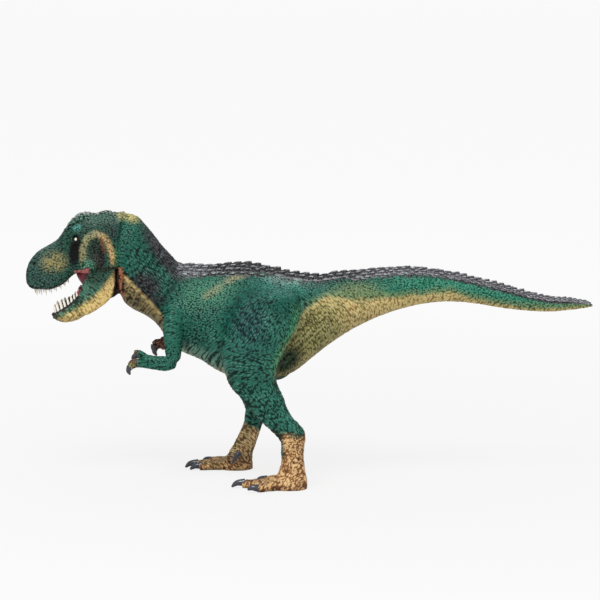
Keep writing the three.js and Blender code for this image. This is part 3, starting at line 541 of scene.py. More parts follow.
def leg_function(p, name):
    """Above zero on a leg, with its value in millimetres from the seam."""
    side = SIDES[name]
    outer = np.minimum(inside_outline(p, leg_outline(name)), side * p[:, 1] - THIGH_SEAT)
    lower = np.minimum(THIGH_FOOT - p[:, 2], side * p[:, 1])
    return np.maximum(outer, lower)


def arm_function(p, name):
    """Above zero on an arm and the fingers."""
    side, arm = SIDES[name], ARMS[name]
    best = np.full(len(p), -1e9)
    limbs = [(arm["upper"], UPPER_ARM_RADII, UPPER_ARM_SPARE), (arm["fore"], FOREARM_RADII, FOREARM_SPARE)]
    limbs += [(finger, FINGER_RADII, FINGER_SPARE) for finger in arm["fingers"]]
    for shares, radii, spare in limbs:
        line = limb_points(shares, side, (0, 2, 1))
        radii = np.array(radii) * WIDTH
        radii = np.interp(np.linspace(0, 1, len(line)), np.linspace(0, 1, len(radii)), radii)
        for a, b, ra, rb in zip(line[:-1], line[1:], radii[:-1], radii[1:]):
            d = b - a
            t = np.clip((p - a) @ d / (d @ d), 0, 1)
            distance = np.linalg.norm(p - a - t[:, None] * d, axis=1)
            best = np.maximum(best, ra + (rb - ra) * t + spare - distance)
    return np.minimum(best, side * p[:, 1] - ARM_SEAT)


def either_side(function, p):
    """The larger value of a limb's function over the left and the right one."""
    return np.maximum(function(p, "left"), function(p, "right"))

# %% Smooth the skin
CREASE_WIDTH, CREASE_FILL = 5.5, 4.2  # mm
ELBOW = ((-73.8, 69.8), (8, 8))  # centre and radii
MOUTH_SPOT = ((-135, 108), (26, 15), 20)  # centre, radii and turn


def smoothed(thing, factor, rounds, weights):
    """Smooths a mesh in some rounds, each vertex by its own weight from 0 to 1."""
    group = thing.vertex_groups.new(name="smooth")
    levels = np.round(np.clip(weights, 0, 1) * 16) / 16
    for level in np.unique(levels):
        if level > 0:
            group.add(np.nonzero(levels == level)[0].tolist(), float(level), "REPLACE")
    smooth = thing.modifiers.new("smooth", "SMOOTH")
    smooth.factor, smooth.iterations, smooth.vertex_group = factor, rounds, group.name
    applied(thing)
    thing.vertex_groups.clear()


def fill_crease(thing):
    """Fills the sharp valley where the front and the top of a thigh leave the flank."""
    p = points_of(thing.data)
    for name, side in SIDES.items():
        edge = inside_outline(p, leg_outline(name))
        near = np.exp(-(edge / CREASE_WIDTH) ** 2) * ramp(58, 74, p[:, 2]) * (side * p[:, 1] > 8)
        p[:, 1] += side * CREASE_FILL * near * ramp(-4, -26, p[:, 0])
    set_points(thing.data, p)


p = points_of(skin.data)
leg, arm = either_side(leg_function, p), either_side(arm_function, p)
fine = np.maximum(ramp(26, 12, p[:, 2]), ramp(-3, 0, arm))
in_mouth = blob(p, *MOUTH_SPOT, 0.3)
thigh_edge = ramp(13, 6, np.abs(leg)) * ramp(48, 62, p[:, 2])
thigh_edge *= 1 - 0.85 * ramp(-24, -16, p[:, 0]) * ramp(104, 96, p[:, 2])
arm_edge = ramp(5, 2, np.abs(arm)) * (np.abs(p[:, 1]) < 22)
elbow = blob(p, *ELBOW, 0, 0.6) * (p[:, 1] < -15)
smoothed(skin, 0.5, 8, 1 - 0.5 * fine)
fill_crease(skin)
smoothed(skin, 0.5, 20, (1 - fine) * (1 - in_mouth))
smoothed(skin, 0.9, 90, elbow)
smoothed(skin, 0.9, 140, np.maximum(thigh_edge, arm_edge * 0.5) * (1 - in_mouth))
print("smoothed")

# %% [markdown]
# ## Sculpting
# The larger forms are pushed along the surface's normals: the horns over the eye, the ring of bone behind
# it, the pits of the nostril and the eye, the folds at the shoulder, the knee and the throat. Each is a
# stroke or a spot placed in side view and made on both sides.

# %% Sculpt the head and the folds
EYE = np.array([-128.4, 12.8, 135.9])
NOSTRIL = (-152.6, 121.9)
CHEEK_ARCH = [(-124.4, 124), (-124.6, 131), (-122.4, 136.6), (-117.5, 139.4), (-112.6, 137.6),
              (-109.8, 132.5), (-108.6, 127), (-108.4, 122)]
HINGE = (-112.3, 122.56)  # x and z of the jaw's pin
EYE_RIM = (2.9, 1.5, 0.55)  # its radius, its reach to both sides and its height
SEAM_GROOVE = (0.9, 0.35)  # half width and depth of the groove behind the head
CROWN_HILLS = ((-118.5, 6, -0.9), (-108.5, 7.5, -1.8), (-98.5, 7, 1))  # x, reach, height
NAPE_RISE = 1.3
THROAT_LIFT = ((-104.5, 104), (6, 5), 1.8)  # centre, radii, height
TOE_FLATTENING = 0.22  # the real toes are flatter than the solids' round ones

SPOTS = [  # centre, radii, turn, depth in mm: positive is out
    (NOSTRIL, (1.5, 1.1), 30, -1.1),
    ((-152.6, 123.4), (2.4, 1.4), 30, 0.35),
    ((-117, 129.2), (5, 8.6), 8, -1.3),
    ((-141.5, 123.6), (8.5, 5.6), 15, -0.5),
    ((-131, 128.5), (3.2, 7.5), -12, -0.7),
    ((-122, 122), (3.6, 3.4), 0, 0.7),
    ((-128.4, 141.8), (4.2, 1.7), 28, 0.9),
    ((-106.5, 126), (3.2, 6.5), 0, 0.4),
]
STROKES = [  # line, width, depth
    (CHEEK_ARCH, 2.6, 0.8),
    ([(-109.8, 133.6), (-106.5, 131.8), (-104.2, 131.2)], 1.3, -0.7),
    ([(-145, 111.5), (-138, 112.6), (-131.5, 116), (-126.5, 119.5)], 2, 0.45),
    ([(-136, 134), (-133.5, 129), (-134, 122)], 1.6, 0.35),
    # shoulder and chest
    ([(-82, 95.4), (-76, 95.2), (-70, 92.8)], 1.3, -0.4),
    ([(-82, 92.4), (-76, 92), (-69, 89.4)], 1.3, -0.5),
    ([(-81, 89.2), (-75, 88.8), (-68.5, 86)], 1.3, -0.5),
    ([(-80, 86.2), (-74.5, 85.6), (-69, 83.2)], 1.2, -0.4),
    ([(-68.8, 77), (-67.5, 83), (-66.5, 88)], 1.8, -0.5),
    # neck
    ([(-88, 121.5), (-85.5, 113), (-86.5, 104), (-84, 98)], 1.6, -0.5),
    ([(-79.5, 116), (-78, 107), (-80, 99)], 1.6, -0.4),
    ([(-101.5, 117), (-97, 110), (-90, 102.5), (-83, 96.5)], 1.4, -0.45),
    ([(-102.5, 111), (-97, 104.5), (-90, 99)], 1.2, -0.4),
    # behind the thigh
    ([(-5.5, 100), (-10.5, 93), (-15, 83), (-18.5, 72), (-18.5, 64)], 1.6, -0.7),
    ([(-9.5, 96.5), (-4.5, 103)], 1.5, -0.6),
    ([(-12, 86), (-7, 93), (-2, 97)], 1.2, -0.45),
    ([(-15.5, 74), (-10, 81), (-4, 87), (2, 91)], 1.2, -0.4),
    # front of the thigh and the groin
    ([(-46.5, 68), (-47.5, 78), (-45.5, 88)], 2.2, -0.45),
    ([(-46, 66), (-43, 63), (-38, 62)], 1.6, -0.45),
]
KNEE_FOLDS = [(0.455, 6), (0.43, 9), (0.408, 11), (0.385, 12), (0.362, 11), (0.34, 8)]


def knee_strokes(name):
    """Short folds that fan out from the front of the knee. Each row is a height share and a length."""
    rows = smooth_rows(LEG_ROWS[name], 4)
    for share, reach in KNEE_FOLDS:
        front = np.interp(share, rows[::-1, 1], rows[::-1, 0])
        x, z = (front - 0.5) * LENGTH, share * HEIGHT
        tilt = (share - 0.4) * 30
        yield [(x + 0.5, z), (x + reach * 0.5, z + tilt * 0.4), (x + reach, z + tilt)], 1.1, -0.4


def eye_distance(p):
    """Distance to the nearer eye."""
    return np.linalg.norm(np.abs(p) * (0, 1, 0) + p * (1, 0, 1) - EYE, axis=1)


def sculpt(thing):
    p, n = points_of(thing.data), normals_of(thing.data)
    push = np.zeros(len(p))
    flank = ramp(0.25, 0.6, np.abs(n[:, 1])) * ramp(3, 6, np.abs(p[:, 1]))
    outer = flank * (1 - blob(p, (-137, 104), (24, 14), 20, 0.1))
    for centre, radii, turn, depth in SPOTS:
        push += depth * blob(p, centre, radii, turn, 0.9) * outer
    for line, width, depth in STROKES:
        push += depth * stroke(p, line, width) * outer
    for name, side in SIDES.items():
        mine = side * p[:, 1] > THIGH_SEAT + 4
        for line, width, depth in knee_strokes(name):
            push += depth * stroke(p, line, width) * outer * mine
    radius, reach, height = EYE_RIM
    push += height * ramp(reach, 0, np.abs(eye_distance(p) - radius))
    half, depth = SEAM_GROOVE
    seam = ramp(half, 0, np.abs(beyond(p, HEAD_SEAM)))
    push -= depth * seam * (p[:, 2] > 106) * ramp(3, 6, np.abs(p[:, 1]))
    for middle, reach, height in CROWN_HILLS:
        push += height * ramp(0.5, 0.9, n[:, 2]) * ramp(reach, 0, np.abs(p[:, 0] - middle))
    push += NAPE_RISE * ramp(0.2, 0.7, n[:, 2]) * ramp(-102, -95, p[:, 0]) * ramp(-70, -79, p[:, 0])
    p = p + n * push[:, None]
    centre, radii, height = THROAT_LIFT
    p[:, 2] += height * blob(p, centre, radii, 0, 0.9)
    tip = np.where(p[:, 1] < 0, ramp(-15, -25, p[:, 0]), ramp(-43, -53, p[:, 0])) * (p[:, 2] < 20)
    p[:, 2] *= 1 - TOE_FLATTENING * tip
    set_points(thing.data, p)


sculpt(skin)
print("sculpted")

# %% [markdown]
# ## Pebbles
# Thousands of small scales cover the real skin, so they are made by a rule: Geometry Nodes push every
# vertex out by a dome in each cell of a Voronoi pattern. Two sizes are mixed by masks, the wrinkles come
# in as an attribute, and the height is kept for the paint, because the wash runs into the hollows.

# %% Node helpers
def add_node(tree, kind, values=None, **settings):
    """Adds a node, sets it, and gives its inputs numbers or links from other nodes' outputs."""
    made = tree.nodes.new(kind)
    for name, value in settings.items():
        setattr(made, name, value)
    for key, value in (values or {}).items():
        if isinstance(value, bpy.types.NodeSocket):
            tree.links.new(value, made.inputs[key])
        else:
            made.inputs[key].default_value = value
    return made


def calculate(tree, operation, *values, clamp=False):
    """One Math node, as its output."""
    made = add_node(tree, "ShaderNodeMath", dict(enumerate(values)), operation=operation, use_clamp=clamp)
    return made.outputs[0]


def new_tree(name, kind, inputs, outputs):
    """A node group with named sockets, and its input and output nodes."""
    tree = bpy.data.node_groups.new(name, kind)
    for label, (socket, value) in inputs.items():
        made = tree.interface.new_socket(label, in_out="INPUT", socket_type=socket)
        if value is not None:
            made.default_value = value
    for label, socket in outputs.items():
        tree.interface.new_socket(label, in_out="OUTPUT", socket_type=socket)
    return tree, tree.nodes.new("NodeGroupInput"), tree.nodes.new("NodeGroupOutput")


def with_tree(thing, tree, values):
    """Runs a geometry tree on an object, with its inputs set by their identifiers, and keeps the result."""
    modifier = thing.modifiers.new(tree.name, "NODES")
    modifier.node_group = tree
    for item in tree.interface.items_tree:
        if item.item_type == "SOCKET" and item.in_out == "INPUT" and item.name in values:
            modifier[item.identifier] = values[item.name]
    return applied(thing)


def named(tree, name, kind="FLOAT"):
    made = add_node(tree, "GeometryNodeInputNamedAttribute", data_type=kind)
    made.inputs["Name"].default_value = name
    return made.outputs["Attribute"]


# %% The pebble tree
FLOAT, COLOUR, SHAPE = "NodeSocketFloat", "NodeSocketColor", "NodeSocketGeometry"
WIDTH_SHARES = (0.45, 0.6)  # how far the width moves a place across and up a flat pattern
CELL_REACH = 0.68  # distance from a cell's middle, in cells, at which its dome ends
DOME_POWER = 1.8


def flat_cells(tree, place, across, up, **values):
    """Voronoi cells of the side view, at a scale across and one up, which lean over where the skin turns."""
    parts = add_node(tree, "ShaderNodeSeparateXYZ", {0: place}).outputs
    flat = []
    for share, axis, scale in ((WIDTH_SHARES[0], 0, across), (WIDTH_SHARES[1], 2, up)):
        leaning = calculate(tree, "ADD", parts[axis], calculate(tree, "MULTIPLY", parts[1], share))
        flat.append(calculate(tree, "MULTIPLY", leaning, scale))
    joined = add_node(tree, "ShaderNodeCombineXYZ", {0: flat[0], 1: flat[1]}).outputs[0]
    cells = add_node(tree, "ShaderNodeTexVoronoi", voronoi_dimensions="2D")
    tree.links.new(joined, cells.inputs["Vector"])
    cells.inputs["Scale"].default_value = 1
    for label, value in values.items():
        cells.inputs[label].default_value = value
    return cells.outputs["Distance"]


def pebble_dome(tree, size, seed):
    """Domes on Voronoi cells, from -0.5 in the gaps to 0.5 on the tops."""
    place = add_node(tree, "GeometryNodeInputPosition").outputs[0]
    moved = add_node(tree, "ShaderNodeVectorMath", {0: place, 1: (seed, 0, 0)}, operation="ADD")
    scale = calculate(tree, "DIVIDE", 1, size)
    distance = flat_cells(tree, moved.outputs[0], scale, scale, Randomness=0.85)
    share = calculate(tree, "DIVIDE", distance, CELL_REACH, clamp=True)
    return calculate(tree, "SUBTRACT", 0.5, calculate(tree, "POWER", share, DOME_POWER))


def pebble_tree():
    tree, given, out = new_tree(
        "pebbled skin", "GeometryNodeTree",
        {"Geometry": (SHAPE, None), "Fine Size": (FLOAT, 0.0015), "Fine Height": (FLOAT, 0.0003),
         "Coarse Size": (FLOAT, 0.0024), "Coarse Height": (FLOAT, 0.0004)},
        {"Geometry": SHAPE})
    total = calculate(tree, "MULTIPLY", named(tree, "fold"), -MM)
    for label, seed in (("Fine", 0), ("Coarse", 31)):
        dome = pebble_dome(tree, given.outputs[f"{label} Size"], seed)
        high = calculate(tree, "MULTIPLY", dome, given.outputs[f"{label} Height"])
        total = calculate(tree, "ADD", total, calculate(tree, "MULTIPLY", high, named(tree, label.lower())))
    kept = add_node(tree, "GeometryNodeStoreNamedAttribute",
                    {"Geometry": given.outputs["Geometry"], "Name": "height",
                     "Value": calculate(tree, "MULTIPLY", total, 1 / MM)}, data_type="FLOAT", domain="POINT")
    normal = add_node(tree, "GeometryNodeInputNormal").outputs[0]
    offset = add_node(tree, "ShaderNodeVectorMath", {0: normal, "Scale": total}, operation="SCALE").outputs[0]
    moved = add_node(tree, "GeometryNodeSetPosition", {"Geometry": kept.outputs[0], "Offset": offset})
    tree.links.new(moved.outputs[0], out.inputs["Geometry"])
    return tree


pebbles = pebble_tree()


def set_floats(mesh, name, values):
    made = mesh.attributes.get(name) or mesh.attributes.new(name, "FLOAT", "POINT")
    made.data.foreach_set("value", np.asarray(values, np.float32))


def floats_of(mesh, name):
    return values_of(mesh.attributes[name].data, "value").astype(float)


# %% Masks of the skin's relief
def skin_relief(p):
    """Fine pebbles, coarse pebbles and the depth of the wrinkles in millimetres, at each point."""
    share = height_share(p)
    x, y, z = p.T
    foot = ramp(30, 24, z)
    neck = blob(p, (-88, 118), (26, 26), -35, 0.5) * ramp(-104, -100, x)
    thigh = blob(p, (-31, 84), (25, 38), -10, 0.6) * ramp(12, 16, np.abs(y))
    shin = ramp(66, 58, z) * ramp(24, 30, z)
    tail = ramp(2, 20, x)
    wedge = blob(p, (-2, 84), (24, 15), 40, 0.6)
    chest = blob(p, (-78, 90), (12, 12), 0, 0.6)
    arm = ramp(-1.5, 0.5, arm_near)
    head = ramp(-103, -106, x)
    coarse = np.clip(0.45 * thigh + 0.15 * foot + 0.35 * chest + 0.25 * head, 0, 1) * (1 - 0.8 * arm)
    fine = (1 - 0.75 * coarse) * (1 - 0.6 * ramp(66, 56, z))
    low_thigh = ramp(88, 74, z) * thigh
    belly = ramp(0.22, 0.05, share) * ramp(-80, -70, x) * ramp(0, -10, x)
    wrinkles = [  # where, depth in mm, direction in degrees, length and width in mm, seed
        (neck, 0.34, 52, 9, 1.4, 11),
        ((thigh - low_thigh) * (1 - shin), 0.32, -62, 7, 1.7, 12),
        (low_thigh * (1 - shin), 0.3, -8, 8, 1.5, 20),
        (shin, 0.3, 35, 7, 1.6, 13),
        (tail * (1 - wedge), 0.16, 60, 6, 1.4, 14),
        (wedge, 0.42, 46, 14, 1.8, 15),
        ((1 - 0.5 * arm) * chest, 0.34, -4, 12, 1.7, 16),
        (ramp(26, 18, z), 0.34, 112, 7, 1.7, 17),
        (ramp(18, 30, z) * ramp(38, 30, z), 0.3, 5, 7, 1.7, 18),
        (belly, 0.25, 80, 12, 2, 19),
    ]
    fold = sum(depth * where * folds(p, *shape) for where, depth, *shape in wrinkles)
    return fine, coarse, fold


def grain_turns(p):
    """Shares of the grain that runs level, falls and rises towards the tail. The rest has no direction."""
    x, y, z = p.T
    leg = ramp(12, 16, np.abs(y)) * ramp(-64, -58, x)
    thigh = blob(p, (-31, 92), (22, 26), -10, 0.7) * leg
    knee = ramp(84, 72, z) * ramp(56, 66, z) * leg
    shin = ramp(66, 56, z) * ramp(26, 34, z)
    chest = blob(p, (-80, 90), (16, 14), 0, 0.8)
    neck = blob(p, (-90, 118), (24, 26), -35, 0.6) * ramp(-104, -100, x)
    neck += blob(p, (-62, 118), (16, 6), 6, 0.6)
    wedge = ramp(-20, -12, x) * ramp(66, 46, x) * ramp(110, 102, z) * ramp(60, 64, z)
    toes = ramp(22, 15, z)
    heel = ramp(26, 30, z) * ramp(40, 34, z) * ramp(-6, -3, x) * (y < 0)
    far_shin = ramp(14, 18, z) * ramp(34, 28, z) * (y > 0)
    jaw_side = blob(p, (-126, 100), (22, 14), 30, 0.6)
    level = np.clip(knee + chest + heel, 0, 1)
    falling = np.clip(thigh * (1 - knee) + toes * (y < 0), 0, 1)
    rising = neck * (1 - chest) + wedge + shin * (1 - knee) + toes * (y > 0) + far_shin + jaw_side
    rising = np.clip(rising, 0, 1)
    total = np.maximum(level + falling + rising, 1)
    return np.stack([level / total, falling / total, rising / total, np.ones(len(p))], axis=1)


MOUTH_LIP_X = [-158, -154, -147, -140, -134, -127]
MOUTH_LIP_Z = [108, 108, 107.5, 109, 112, 116]
MOUTH_HALF = [3, 6.6, 8.6, 9.2, 10.2, 11.3]  # half width between the lips
JAW_ROOM = 26  # mm round the hinge in which the jaw's ears turn


def mouth_mask(p, n):
    """1 inside the mouth and in the slots of the jaw's plates, where the skin stays smooth."""
    x, y, z = p.T
    lip = np.interp(x, MOUTH_LIP_X, MOUTH_LIP_Z)
    inward = (n[:, 1] * np.sign(y) < 0.15) & (n[:, 0] > -0.6)
    inside = (z < lip + 12) & (np.abs(y) < np.interp(x, MOUTH_LIP_X, MOUTH_HALF)) & (x < -127) & inward
    slot = (np.hypot(x - HINGE[0], z - HINGE[1]) < JAW_ROOM) & (np.abs(y) < 13.2) & (z < 128) & (x < -103)
    slot &= (x > -126.5) | inward
    return np.maximum(inside, slot).astype(float)


# %% Pebble the skin
BODY_PEBBLES = {"Fine Size": 0.0014, "Fine Height": 0.00016, "Coarse Size": 0.0018, "Coarse Height": 0.00032}

seam_points = points_of(skin.data)  # before the pebbles, for smooth cuts later
arm_near = either_side(arm_function, seam_points)
calm = 1 - mouth_mask(seam_points, normals_of(skin.data))
calm = calm * ramp(2, 3.4, eye_distance(seam_points)) * ramp(0.3, 2.5, seam_points[:, 2])
for name, values in zip(("fine", "coarse", "fold"), skin_relief(seam_points)):
    set_floats(skin.data, name, values * calm)
with_tree(skin, pebbles, BODY_PEBBLES)
heights = floats_of(skin.data, "height")
print("pebbled, height in mm from", round(heights.min(), 2), "to", round(heights.max(), 2))

# %% [markdown]
# ## Paint
# The toy is sprayed green, then ochre from below and charcoal from above, with soft edges. Every coat is
# a mask and a colour, laid over the last one as with an airbrush. A second colour goes with each zone:
# the wash that dries in its hollows. Both are kept on the vertices, and the material mixes them. An
# image would need the figure unwrapped, and paint on the vertices needs no map at all.

# %% Colours
def srgb(r, g, b):
    """Linear light from a colour written as three numbers up to 255."""
    c = np.array([r, g, b]) / 255
    return np.where(c <= 0.04045, c / 12.92, ((c + 0.055) / 1.055) ** 2.4)


# Each paint with its wash
GREEN, GREEN_WASH = (34, 112, 92), (3, 30, 24)
FLANK, DEEP, SHOULDER = (24, 98, 80), (18, 80, 70), (64, 132, 102)
NAVY, NAVY_WASH = (30, 78, 86), (6, 24, 28)
OCHRE, OCHRE_WASH = (222, 200, 136), (136, 116, 66)
OLIVE, OLIVE_WASH = (156, 158, 98), (66, 72, 36)
TAN, TAN_WASH = (238, 200, 142), (122, 80, 46)
CHARCOAL, CHARCOAL_WASH = (70, 70, 74), (16, 18, 20)
RUST, RUST_WASH = (128, 76, 48), (52, 28, 20)
LEG_WASH = (12, 46, 38)
CREAM, CREAM_WASH = (196, 190, 160), (96, 92, 66)
BLACK = (18, 19, 20)
PINK_WASH = (110, 46, 48)

# %% Lines that the paint follows
STREAK = [(-22, 119.2), (-31.3, 119.4), (-40, 116), (-44.4, 113.8), (-48.8, 110.7), (-53.8, 107.8),
          (-57.6, 105.6)]
# Where the ochre of the underside ends, from behind the thigh to the tail tip
OCHRE_EDGE = [(-19.5, 64), (-18.6, 72.6), (-13.1, 82), (-7, 93), (2.3, 100.8), (10.5, 104),
              (21.5, 103.2), (35, 103), (49, 104), (76.8, 105.6), (104, 98.6), (131, 96),
              (157, 97)]
# Where the ochre of the throat ends
THROAT_EDGE = [(-108, 121), (-101, 115.5), (-95, 110), (-89, 103.5), (-83, 97), (-79, 92.5)]
# How far the charcoal of the back comes down, as a share of the body's height there
BACK_BAND = [(-100, 0.02), (-80, 0.08), (-60, 0.06), (-20, 0.03), (10, 0.04), (40, 0.13), (80, 0.16),
             (120, 0.24), (158, 0.4)]


def line_at(x, line):
    """Height of a line of (x, value) places at each x."""
    return np.interp(x, *np.array(line).T)


# %% Coats
class Coats:
    """Paint and wash colours of a set of points, and how much dry brush their peaks have."""

    def __init__(self, count, paint, wash, glint=0.8):
        self.paint = np.tile((*srgb(*paint), glint), (count, 1))
        self.wash = np.tile((*srgb(*wash), 1), (count, 1))

    def lay(self, mask, paint, wash, glint=0.8):
        m = np.clip(np.asarray(mask, float), 0, 1)[:, None]
        self.paint = self.paint * (1 - m) + np.array([*srgb(*paint), glint]) * m
        self.wash = self.wash * (1 - m) + np.array([*srgb(*wash), 1]) * m

    def keep(self, mesh):
        for name, values in (("paint", self.paint), ("wash", self.wash)):
            keep_colours(mesh, name, values)
        keep_colours(mesh, "grain", grain_turns(points_of(mesh)))


def keep_colours(mesh, name, values):
    made = mesh.attributes.get(name) or mesh.attributes.new(name, "FLOAT_COLOR", "POINT")
    made.data.foreach_set("color", np.asarray(values, np.float32).ravel())


def leg_mask(p):
    """1 on the free part of both legs, 0 on the body."""
    return ramp(-1.5, 0.5, either_side(leg_function, p)) * ramp(68, 58, p[:, 2])


def body_coats(p, n):
    """The body from the neck to the tail tip."""
    share, x, y, z = height_share(p), *p.T
    soft = cloud(p, 9, 21) - 0.5
    rough = cloud(p, 2.6, 23) - 0.5
    coats = Coats(len(p), FLANK, GREEN_WASH, 0.6)
    lay = coats.lay
    lay(0.5 * ramp(0.45, 0.75, cloud(p, 14, 25)), DEEP, GREEN_WASH, 0.6)
    lay(0.7 * blob(p, (-56, 108), (24, 13), 14, 0.9), SHOULDER, GREEN_WASH, 0.9)
    streak = stroke(p, STREAK, 3.6) * (0.35 + 0.45 * ramp(-55, -38, x))
    lay(streak * ramp(-0.35, 0.15, soft), (192, 172, 132), OLIVE_WASH)
    lay(0.6 * blob(p, (-33, 89), (17, 28), -8, 0.9), NAVY, NAVY_WASH, 0.5)
    # Lighter mint and whitish specks on the top of the hip: dry brush, and a painted highlight where the
    # light from above falls
    lay(0.7 * blob(p, (-14, 112), (26, 9), -4, 0.9), (78, 150, 136), GREEN_WASH, 1.1)
    lay(0.8 * blob(p, (-12, 114.5), (20, 5), -6, 0.9), (168, 200, 188), GREEN_WASH, 1.4)
    thigh = ramp(13, 18, np.abs(y)) * ramp(92, 80, z) * ramp(-60, -54, x) * ramp(0, -6, x)
    lay(0.55 * thigh, (62, 132, 112), LEG_WASH, 0.7)
    rear = blob(p, (-14, 86), (10, 24), 30, 0.8) * ramp(10, 15, np.abs(y))
    lay(0.5 * rear, (72, 142, 120), LEG_WASH, 1)
    # tail: emerald, with ochre below the edge and olive just above it
    lay(0.9 * ramp(20, 60, x), (52, 142, 114), (16, 64, 48))
    edge = line_at(x, OCHRE_EDGE)
    slope = np.interp(x, [-19, -5, 10], [1.6, 1.2, 1])
    over = (z - edge) / slope + 3 * soft + 1.2 * rough
    behind = ramp(-21, -18, x) * ramp(58, 62, z)
    olive = ramp(5, 0.5, over) + blob(p, (26, 106), (22, 9), 0, 0.9)
    lay(0.7 * np.clip(olive, 0, 1) * behind * ramp(-10, 5, x), (136, 156, 106), OLIVE_WASH)
    under = ramp(1.6, -1.8, over) * behind
    lay(under, OCHRE, OCHRE_WASH)
    lay(0.6 * under * ramp(0.05, 0.2, rough) * ramp(44, 24, x), (128, 132, 84), (44, 56, 30))
    lay(0.5 * under * ramp(0.05, 0.2, -rough) * ramp(44, 24, x), (176, 128, 84), (84, 54, 30))
    wedge = blob(p, (0, 84), (32, 22), 40, 0.7) * under
    lay(0.85 * wedge, (158, 156, 100), (66, 70, 34))
    dark = blob(p, (-13, 69), (9.5, 15), -40, 0.7) * under
    lay(dark, (44, 70, 40), (8, 18, 8), 0.4)
    lay(0.45 * ramp(0.1, 0.3, rough) * under * ramp(40, 10, x), (128, 100, 58), RUST_WASH)
    # belly
    belly = ramp(0.13, 0.03, share + 0.08 * soft) * ramp(-80, -72, x) * ramp(-42, -48, x)
    belly *= ramp(0, -1, arm_near)
    keel = ramp(-0.75, -0.92, n[:, 2]) * ramp(-84, -78, x) * ramp(-42, -47, x)
    lay(0.85 * np.maximum(belly, keel), CREAM, CREAM_WASH)
    # neck and throat
    blotch = blob(p, (-90, 109), (16, 11.5), -38, 0.6)
    lay(blotch * ramp(-0.5, -0.1, soft), (54, 56, 58), (12, 14, 14), 0.4)
    lay(0.45 * blob(p, (-78, 117), (10, 12), -30, 0.8), DEEP, GREEN_WASH)
    throat = ramp(1.5, -1, z - line_at(x, THROAT_EDGE) + 3 * soft) * ramp(-78, -82, x)
    lay(throat, (150, 134, 88), (60, 46, 28))
    lay(throat * ramp(0, 0.2, rough) * 0.8, (96, 96, 66), (36, 32, 22))
    stripe = stroke(p, [(-104, 117), (-97, 110.5), (-89.5, 103.5), (-82.5, 96.5)], 1.6)
    lay(throat * stripe * 0.8, (206, 178, 118), OCHRE_WASH)
    plate = ramp(-101.5, -103.8, x + 1.5 * rough) * (z < 121)
    lay(plate, (172, 108, 68), RUST_WASH, 0.5)
    lay(plate * blob(p, (-102.4, 113), (1.5, 9), -6, 0.5), (78, 22, 16), BLACK, 0.1)
    lay(ramp(-104.6, -105.6, x) * (z < 121), (62, 26, 18), BLACK, 0.1)
    nape = blob(p, (-100.5, 149.5), (11, 5), -28, 0.8)
    lay(nape * ramp(-0.35, -0.05, rough), (206, 190, 122), OLIVE_WASH)
    # back
    back = ramp(-0.05, 0.06, share - (1 - line_at(x, BACK_BAND)) + 0.1 * soft + 0.12 * rough)
    lay(back * ramp(-94, -84, x), CHARCOAL, CHARCOAL_WASH)
    shade = ramp(0.8, 0.93, share + 0.1 * soft) * ramp(-96, -88, x) * ramp(-64, -74, x)
    lay(0.8 * shade, CHARCOAL, CHARCOAL_WASH)
    silver = blob(p, (-62, 118), (15, 4.6), 6, 0.8)
    lay(0.8 * silver * ramp(-0.3, 0.1, soft), (150, 148, 154), CHARCOAL_WASH, 1.2)
    legs = leg_mask(p)
    # Painted light: the lower belly in front of the thighs lighter, where light thrown up from the floor
    # falls
    lay(0.8 * blob(p, (-60, 72), (20, 7), -28, 0.7) * (1 - legs), (112, 160, 138), LEG_WASH)
    lay(legs, (46, 118, 98), LEG_WASH)
    return coats


def leg_coats(coats, p):
    """Green thighs and shins, ochre feet."""
    lay = coats.lay
    x, y, z = p.T
    soft, rough = cloud(p, 6, 31) - 0.5, cloud(p, 2.2, 33) - 0.5
    leg = either_side(leg_function, p)
    ankle = np.where(y < 0, 30.5, 24)
    foot = ramp(2.5, -2.5, z - ankle + 6 * soft + 3 * rough) * ramp(-2, 0, leg)
    lay(0.8 * ramp(66, 52, z) * ramp(-2, 0, leg), (54, 128, 108), LEG_WASH, 0.6)
    edge = inside_outline(p, leg_outline("left"))
    rim = ramp(5.5, 0.5, np.abs(edge - 1)) * ramp(-26, -18, x) * ramp(60, 68, z) * ramp(104, 96, z)
    lay(0.7 * rim * ramp(-2, 1, leg), (84, 176, 126), (16, 60, 38))
    lay(foot, TAN, TAN_WASH)
    lay(0.7 * foot * ramp(0.02, 0.2, rough), (160, 112, 74), RUST_WASH)
    far = foot * ramp(0, 4, y)
    lay(0.75 * far * ramp(4, 10, z), (232, 202, 148), (112, 86, 58))
    toes = foot * ramp(12, 7, z) * ramp(3, 5, z) * ramp(-16, -32, x)
    lay((0.75 - 0.3 * (y > 0)) * toes, (146, 108, 78), BLACK)
    lay(0.4 * far * ramp(0, 0.2, cloud(p, 4, 35) - 0.5), OLIVE, OLIVE_WASH)
    lay(0.55 * foot * ramp(3, 0.8, z), (150, 104, 66), RUST_WASH)
    front = stroke(p, [(-17.5, 36), (-18, 31), (-16.8, 26), (-16.2, 19)], 3.4) * (y < 0)
    lay(front * ramp(-4, -2, leg), (52, 112, 96), LEG_WASH, 0.5)
    rear = stroke(p, [(-2, 34), (-3.2, 26), (-3.2, 20)], 2.2) * (y < 0) * ramp(-2, 0, leg)
    lay(0.5 * rear * ramp(-0.1, 0.1, rough), (96, 62, 52), RUST_WASH, 0.4)


def arm_coats(coats, p):
    """Green arms with brown fingertips."""
    lay = coats.lay
    x, y, z = p.T
    arm = ramp(-1, 1, arm_near)
    lay(arm, (40, 112, 92), (10, 42, 34), 0.5)
    for name, side in SIDES.items():
        mine = arm * (side * y > 0)
        tip = ramp(-93, -96.5, x) if name == "left" else ramp(-78, -83, x)
        lay(mine * tip, (110, 84, 62) if name == "left" else (112, 66, 52), RUST_WASH)
    lay(arm * (y < 0) * (z < 69.5) * ramp(-95.5, -98, x), (170, 165, 96), OLIVE_WASH)


